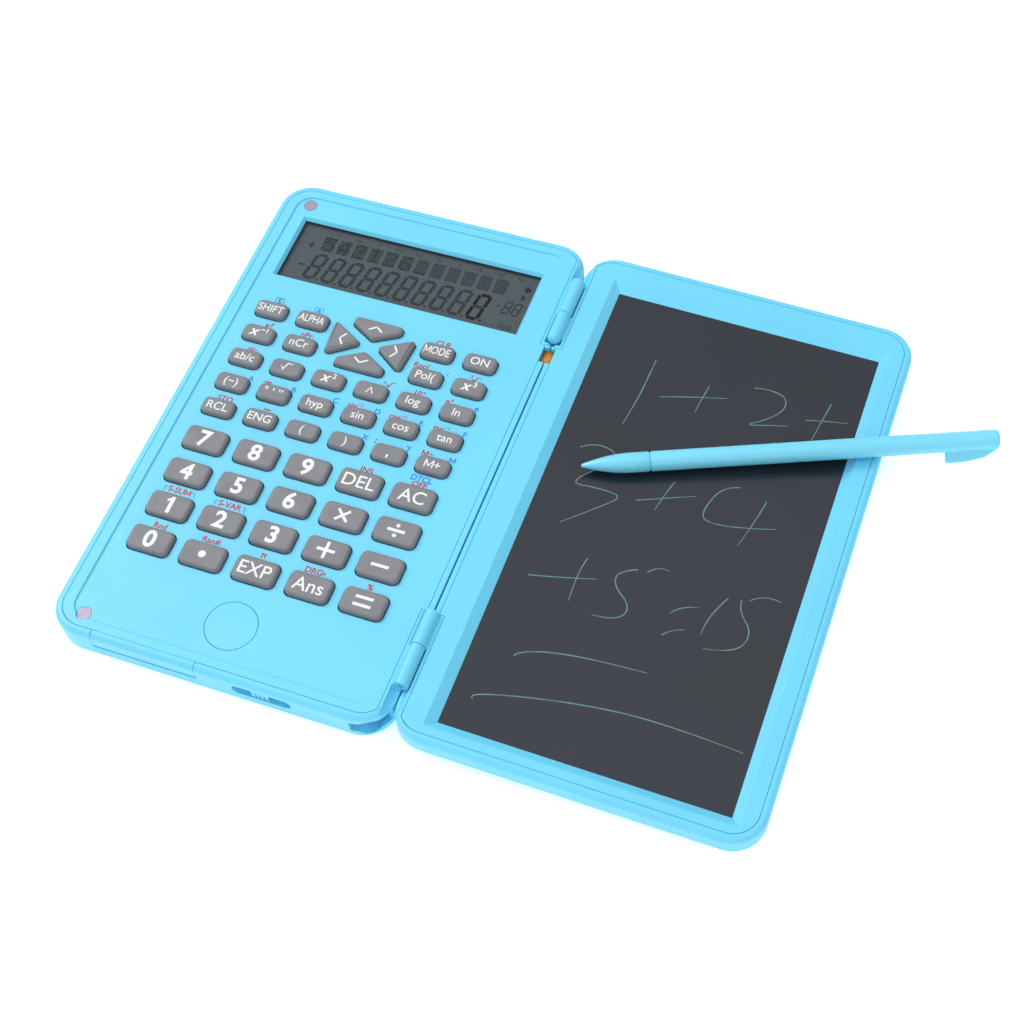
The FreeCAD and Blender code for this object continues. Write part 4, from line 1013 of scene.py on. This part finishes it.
class CALCULATOR_OT_display(bpy.types.Operator):
    """Liquid crystal panel, its segments and the clear window"""

    bl_idname = "calculator.display"
    bl_label = "Display"

    def digit(self, shape, corner, size, bar, slant, inks):
        """A seven-segment digit that leans to the right."""
        width, height = size[0] * MM, size[1] * MM
        for ink, (start, end) in zip(inks, DIGIT_BARS):
            ends = []
            for across, up in (start, end):
                rise = up * height
                ends.append(corner + Vector((across * width + rise * math.tan(slant), rise)))
            along = (ends[1] - ends[0]).normalized() * (bar * BAR_GAP)
            thin_bar(shape, ends[0] + along, ends[1] - along, bar, PANEL_TOP, ink, bar * BAR_POINT)

    def dash(self, shape, start, length_mm, width_mm, ink):
        """A level bar that starts at a point."""
        end = start + Vector((length_mm * MM, 0.0))
        thin_bar(shape, start, end, width_mm * MM, PANEL_TOP, ink)

    def dot_cell(self, shape, corner, pattern):
        """One character of five by seven dots."""
        for row, dots in enumerate(pattern):
            for column, dot in enumerate(dots):
                start = corner + Vector((column * DOT_PITCH.x, row * DOT_PITCH.y))
                self.dash(shape, start, DOT_WIDTH, DOT_HEIGHT, int(dot))

    def arrow(self, shape, tip, turn):
        """A small pointer in steps, each wider than the last."""
        for step in range(POINTER_STEPS):
            back = Matrix.Rotation(turn, 2) @ Vector((-POINTER_STEP * MM * step, 0.0))
            side = Matrix.Rotation(turn, 2) @ Vector((0.0, POINTER_SPREAD * MM * (step + 0.4)))
            thin_bar(shape, tip + back - side, tip + back + side, POINTER_STEP * MM, PANEL_TOP, 0)

    def execute(self, context):
        settings = context.scene.calculator_display
        paint("display_panel", display_back("Display back", settings.panel))
        shape = bmesh.new()
        bar = settings.bar * MM
        for column, sign in enumerate(DOT_ROW):
            corner = on_calculator(DOT_ROW_START[0] + DOT_ROW_PITCH * column, DOT_ROW_START[1])
            self.dot_cell(shape, corner, DOT_PATTERNS[sign])
        for column in range(DIGIT_COUNT):
            lit = column == DIGIT_COUNT - 1
            inks = [int(lit and index != MIDDLE_BAR) for index in range(len(DIGIT_BARS))]
            corner = on_calculator(DIGIT_START[0] + DIGIT_PITCH * column, DIGIT_START[1])
            self.digit(shape, corner, DIGIT_SIZE, bar, settings.slant, inks)
            self.dash(shape, corner + POINT_PLACE, POINT_SIZE, POINT_SIZE, int(lit))
        for place in EXPONENTS:
            inks = [0] * len(DIGIT_BARS)
            corner = on_calculator(*place)
            self.digit(shape, corner, EXPONENT_SIZE, EXPONENT_BAR * MM, settings.slant, inks)
        for x, y, reach, width in MINUS_SIGNS:
            self.dash(shape, on_calculator(x, y), reach, width, 0)
        for x, y, turn in POINTERS:
            self.arrow(shape, on_calculator(x, y), math.radians(turn))
        place = on_calculator(*DISPLAY_WORD_PLACE)
        print_legend(shape, DISPLAY_WORD, "plain", place, DISPLAY_WORD_HEIGHT, 0, PANEL_TOP)
        for index, words in enumerate(SIGNALS):
            place = on_calculator(SIGNAL_START[0] + SIGNAL_PITCH * index, SIGNAL_START[1])
            print_legend(shape, words, "plain", place, SIGNAL_HEIGHT, 0, PANEL_TOP)
        resting = printing_ink("Resting segments", settings.resting, 0.1)
        lit = printing_ink("Lit segments", settings.lit, 0.1)
        finished("display_segments", shape, [resting, lit], "calculator")
        self.window()
        return {"FINISHED"}

    def window(self):
        """The clear window, a hair above the panel."""
        low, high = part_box("display_lens")
        low = low + Vector((0.0, 0.0, WINDOW_AIR * MM))
        shape = bmesh.new()
        place = Matrix.Translation((low + high) / 2) @ Matrix.Diagonal((*(high - low), 1.0))
        bmesh.ops.create_cube(shape, size=1.0, matrix=place)
        rounded(shape, shape.edges[:], WINDOW_EASING * MM, 2)
        glass = clear_window("Clear window")
        finished("display_window", shape, [glass], "calculator", ("display_lens",))


class CALCULATOR_OT_writing_tablet(bpy.types.Operator):
    """Writing screen and the strokes drawn on it"""

    bl_idname = "calculator.writing_tablet"
    bl_label = "Writing Tablet"

    def execute(self, context):
        settings = context.scene.calculator_tablet
        paint("writing_screen", writing_film("Writing film", settings.film))
        lines = bpy.data.curves.new("handwriting", "CURVE")
        lines.dimensions = "3D"
        lines.bevel_depth = settings.stroke
        lines.bevel_resolution = 2
        lines.use_fill_caps = True
        for stroke in HANDWRITING:
            add_spline(lines, stroke, 8).points[-1].radius = STROKE_END
        mesh = mesh_of(lines)
        low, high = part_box("writing_screen")
        rise = (TABLET_PLACE.inverted() @ Vector((low.x, 0.0, high.z))).z
        flat = Matrix.Diagonal((MM, MM, STROKE_RISE * MM, 1.0))
        mesh.transform(TABLET_PLACE @ Matrix.Translation((0.0, 0.0, rise)) @ flat)
        shape = bmesh.new()
        shape.from_mesh(mesh)
        smooth_all(shape.faces)
        trace = plain_material("Written trace", settings.trace, 0.32)
        cloud_tint(
            trace, noise_of(trace, 260.0, 4.0), shaded(settings.trace, 0.55), settings.trace, 0.3, 0.6
        )
        relief(trace, noise_of(trace, 2000.0), 0.004 * MM, 0.4)
        finished("handwriting", shape, [trace], "tablet")
        return {"FINISHED"}


class CALCULATOR_OT_stylus(bpy.types.Operator):
    """Stylus with its tapered tip and lifting fin"""

    bl_idname = "calculator.stylus"
    bl_label = "Stylus"

    def turned(self, profile, facets):
        """A closed form turned about x from its half outline, which starts and ends on the axis."""
        shape = bmesh.new()
        points = [shape.verts.new((x * MM, 0.0, r * MM)) for x, r in profile]
        edges = [shape.edges.new(pair) for pair in zip(points, points[1:])]
        bmesh.ops.spin(
            shape,
            geom=points + edges,
            cent=(0.0, 0.0, 0.0),
            axis=(1.0, 0.0, 0.0),
            angle=math.tau,
            steps=facets,
            use_merge=True,
        )
        bmesh.ops.remove_doubles(shape, verts=shape.verts, dist=0.0005 * MM)
        bmesh.ops.recalc_face_normals(shape, faces=shape.faces)
        smooth_all(shape.faces)
        return shape

    def place(self, settings):
        """The stylus lies on the screen's edge and the bezel, its fin towards the user."""
        sink = SCREEN_SINK - settings.radius - STYLUS_GAP + settings.taper * math.sin(STYLUS_TILT)
        return (
            TABLET_PLACE
            @ Matrix.Translation(Vector((*NOSE_PLACE, -sink)) * MM)
            @ Matrix.Rotation(STYLUS_YAW, 4, "Z")
            @ Matrix.Rotation(-STYLUS_TILT, 4, "Y")
            @ Matrix.Rotation(STYLUS_ROLL, 4, "X")
        )

    def fin(self, shape, settings):
        """The lifting fin, on the side of the barrel."""
        end, depth = settings.full - 0.2, settings.fin_depth
        start = settings.full - settings.fin
        outline = (
            (start, 1.0),
            (start, depth),
            (start + settings.fin * 0.38, depth - 0.1),
            (start + settings.fin * 0.72, depth - 1.0),
            (end, depth - 3.4),
            (end, 1.0),
        )
        part = bmesh.new()
        half = settings.fin_width * MM / 2
        corners = [part.verts.new((x * MM, y * MM, -half)) for x, y in outline]
        lifted(part, part.faces.new(corners), 2 * half)
        bmesh.ops.recalc_face_normals(part, faces=part.faces)
        rims = [edge for edge in part.edges if edge.calc_face_angle(0.0) > 0.3]
        rounded(part, rims, FIN_ROUNDING * MM, 4)
        smooth_all(part.faces)
        add_shape(shape, part)

    def execute(self, context):
        settings = context.scene.calculator_stylus
        plastic = moulded_plastic("Stylus plastic", settings.tint, 0.26, 0.004 * MM)
        radius, taper, nose = settings.radius, settings.taper, settings.nose
        rounds = [
            (nose * (1 - math.cos(turn)), nose * math.sin(turn))
            for turn in (math.radians(step) for step in (0, 18, 36, 54, 72))
        ]
        flank = []
        for step in range(1, 15):
            share = step / 14
            swell = nose + (radius - nose) * (1 - (1 - share) ** 1.75)
            flank.append((nose + (taper - nose) * share, swell))
        tip = settings.tip
        groove = [(tip - 0.5, radius), (tip - 0.2, radius - 0.16), (tip, radius - 0.42)]
        shape = self.turned(rounds + flank + groove + [(tip, 0.0)], settings.facets)
        shape.transform(self.place(settings))
        finished("stylus_tip_turning", shape, [plastic], "stylus", ("stylus_tip",))
        end = settings.full
        barrel = [(tip + 0.02, 0.0), (tip + 0.02, radius - 0.42), (tip + 0.22, radius - 0.16)]
        barrel += [(tip + 0.52, radius), (tip + 2.0, radius), (end - 2.0, radius), (end - 0.9, radius)]
        barrel += [(end - 0.5, radius - 0.1), (end - 0.15, radius - 0.4), (end, radius - 0.9), (end, 0.0)]
        shape = self.turned(barrel, settings.facets)
        self.fin(shape, settings)
        shape.transform(self.place(settings))
        piece = finished(
            "stylus_barrel_turning", shape, [plastic], "stylus", ("stylus_barrel",)
        )
        keep_flats(piece)
        return {"FINISHED"}


class CALCULATOR_OT_spine(bpy.types.Operator):
    """Hinge pins and the ribbon cable that crosses the spine"""

    bl_idname = "calculator.spine"
    bl_label = "Spine"

    def execute(self, context):
        paint("hinge_pins", metal("Pin steel", (0.45, 0.45, 0.46), 0.3, (0.1, 1.0, 1.0)))
        ribbon = bpy.data.curves.new("ribbon", "CURVE")
        ribbon.dimensions = "2D"
        low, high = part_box("flex_cable")
        ribbon.extrude = (high.y - low.y) / MM / 2
        add_spline(ribbon, RIBBON_ROUTE, 6)
        mesh = mesh_of(ribbon)
        mesh.transform(Matrix.Diagonal((MM, MM, MM, 1.0)))
        mesh.transform(Matrix.Rotation(math.radians(90), 4, "X"))
        mesh.transform(Matrix.Translation((HINGE.x, (low.y + high.y) / 2, HINGE.z)))
        shape = bmesh.new()
        shape.from_mesh(mesh)
        bmesh.ops.remove_doubles(shape, verts=shape.verts, dist=0.001 * MM)
        bmesh.ops.recalc_face_normals(shape, faces=shape.faces)
        smooth_all(shape.faces)
        film = ribbon_film("Amber ribbon film")
        piece = finished("ribbon_cable", shape, [film], None, ("flex_cable",))
        body = piece.modifiers.new("Film", "SOLIDIFY")
        body.thickness = RIBBON_THICKNESS * MM
        body.offset = 0.0
        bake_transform(piece)
        return {"FINISHED"}


class CALCULATOR_OT_inner_parts(bpy.types.Operator):
    """Boards, rubber mat, battery, contacts, screws and other parts inside"""

    bl_idname = "calculator.inner_parts"
    bl_label = "Inner Parts"

    def execute(self, context):
        zinc = metal("Zinc plated steel", (0.52, 0.52, 0.54), 0.34)
        bright = metal("Bright cell steel", (0.68, 0.68, 0.70), 0.22, (1.0, 0.1, 1.0))
        brass = metal("Spring brass", (0.74, 0.56, 0.26), 0.3, (0.2, 1.0, 1.0))
        laminate = circuit_laminate("Circuit laminate")
        rubber = silicone("Dark silicone", (0.14, 0.145, 0.15))
        inner = moulded_plastic("Inner moulding", (0.12, 0.45, 0.62), 0.5, 0.01 * MM)
        finishes = {
            "case_screws": zinc,
            "tablet_screws": zinc,
            "catch_plates": zinc,
            "coin_cell": bright,
            "battery_contacts": brass,
            "circuit_board": laminate,
            "tablet_board": laminate,
            "key_mat": rubber,
            "display_connector": rubber,
            "stylus_sleeve": inner,
            "screen_backing": inner,
        }
        for node, material in finishes.items():
            paint(node, material)
        return {"FINISHED"}


class CALCULATOR_OT_stage(bpy.types.Operator):
    """Floor, lights and camera"""

    bl_idname = "calculator.stage"
    bl_label = "Stage"

    def softbox(self, name, place, size, power):
        """A large square lamp that faces the object."""
        lamp = bpy.data.lights.new(name, "AREA")
        lamp.shape = "SQUARE"
        lamp.size = size
        lamp.energy = power
        holder = put(name, lamp)
        holder.location = place
        holder.rotation_euler = (Vector(LAMP_AIM) - Vector(place)).to_track_quat("-Z", "Y").to_euler()

    def execute(self, context):
        settings = context.scene.calculator_stage
        shape = bmesh.new()
        bmesh.ops.create_grid(
            shape,
            x_segments=1,
            y_segments=1,
            size=FLOOR_REACH,
            matrix=Matrix.Translation((0.0, 0.0, -0.1 * MM)),
        )
        paper = plain_material("Pale floor", settings.floor, 0.8)
        cloud_tint(paper, noise_of(paper, 3.0), shaded(settings.floor, 0.99), settings.floor)
        paper_shader = paper.node_tree.nodes["Principled BSDF"]
        paper_shader.inputs["Emission Color"].default_value = (1.0, 1.0, 1.0, 1.0)
        paper_shader.inputs["Emission Strength"].default_value = settings.glow
        finished("floor", shape, [paper], None)
        world = bpy.data.worlds.new("Soft surround")
        world.use_nodes = True
        tree = world.node_tree
        place = tree.nodes.new("ShaderNodeTexCoord").outputs["Generated"]
        height = add_node(tree, "ShaderNodeSeparateXYZ", {}, place)
        reach = {
            "From Min": SKY_LOW,
            "From Max": SKY_HIGH,
            "To Min": settings.horizon,
            "To Max": settings.zenith,
        }
        rise = add_node(tree, "ShaderNodeMapRange", reach, height.outputs["Z"], "Value")
        rise.interpolation_type = "SMOOTHSTEP"
        sky = tree.nodes["Background"]
        tree.links.new(rise.outputs["Result"], sky.inputs["Strength"])
        sky.inputs["Color"].default_value = (1.0, 1.0, 1.0, 1.0)
        context.scene.world = world
        for name, place, size, share in LAMPS:
            self.softbox(name, place, size, settings.softbox * share)
        camera = bpy.data.cameras.new("Camera")
        camera.lens = settings.lens
        camera.sensor_width = 36.0
        camera.clip_start = 0.01
        holder = put("Camera", camera)
        holder.location = settings.eye
        holder.rotation_euler = settings.aim
        context.scene.camera = holder
        context.scene.view_settings.view_transform = "Standard"
        return {"FINISHED"}


class CALCULATOR_PT_pieces(bpy.types.Panel):
    """The calculator's pieces in the sidebar"""

    bl_idname = "CALCULATOR_PT_pieces"
    bl_label = "Folding Calculator"
    bl_space_type = "VIEW_3D"
    bl_region_type = "UI"
    bl_category = "Calculator"

    def draw(self, context):
        for operator in OPERATORS:
            self.layout.operator(operator.bl_idname, text=operator.bl_label)
        for holder in SETTINGS:
            section = self.layout.box()
            group = getattr(context.scene, holder)
            for name in group.bl_rna.properties.keys():
                if name not in ("rna_type", "name"):
                    section.prop(group, name)


SETTINGS = {
    "calculator_shell": ShellSettings,
    "calculator_keys": KeySettings,
    "calculator_captions": CaptionSettings,
    "calculator_display": DisplaySettings,
    "calculator_tablet": TabletSettings,
    "calculator_stylus": StylusSettings,
    "calculator_stage": StageSettings,
}
OPERATORS = (
    CALCULATOR_OT_stage,
    CALCULATOR_OT_mouldings,
    CALCULATOR_OT_keys,
    CALCULATOR_OT_captions,
    CALCULATOR_OT_display,
    CALCULATOR_OT_writing_tablet,
    CALCULATOR_OT_stylus,
    CALCULATOR_OT_spine,
    CALCULATOR_OT_inner_parts,
)


def register():
    """Registers the settings, the operators and the panel."""
    for holder, group in SETTINGS.items():
        bpy.utils.register_class(group)
        setattr(bpy.types.Scene, holder, PointerProperty(type=group))
    for operator in OPERATORS:
        bpy.utils.register_class(operator)
    bpy.utils.register_class(CALCULATOR_PT_pieces)


def unregister():
    """Takes them all away again."""
    bpy.utils.unregister_class(CALCULATOR_PT_pieces)
    for operator in reversed(OPERATORS):
        bpy.utils.unregister_class(operator)
    for holder, group in SETTINGS.items():
        delattr(bpy.types.Scene, holder)
        bpy.utils.unregister_class(group)


def main():
    """Builds every piece in order."""
    register()
    bpy.ops.calculator.stage()
    bpy.ops.calculator.mouldings()
    bpy.ops.calculator.keys()
    bpy.ops.calculator.captions()
    bpy.ops.calculator.display()
    bpy.ops.calculator.writing_tablet()
    bpy.ops.calculator.stylus()
    bpy.ops.calculator.spine()
    bpy.ops.calculator.inner_parts()


if __name__ == "__main__":
    main()
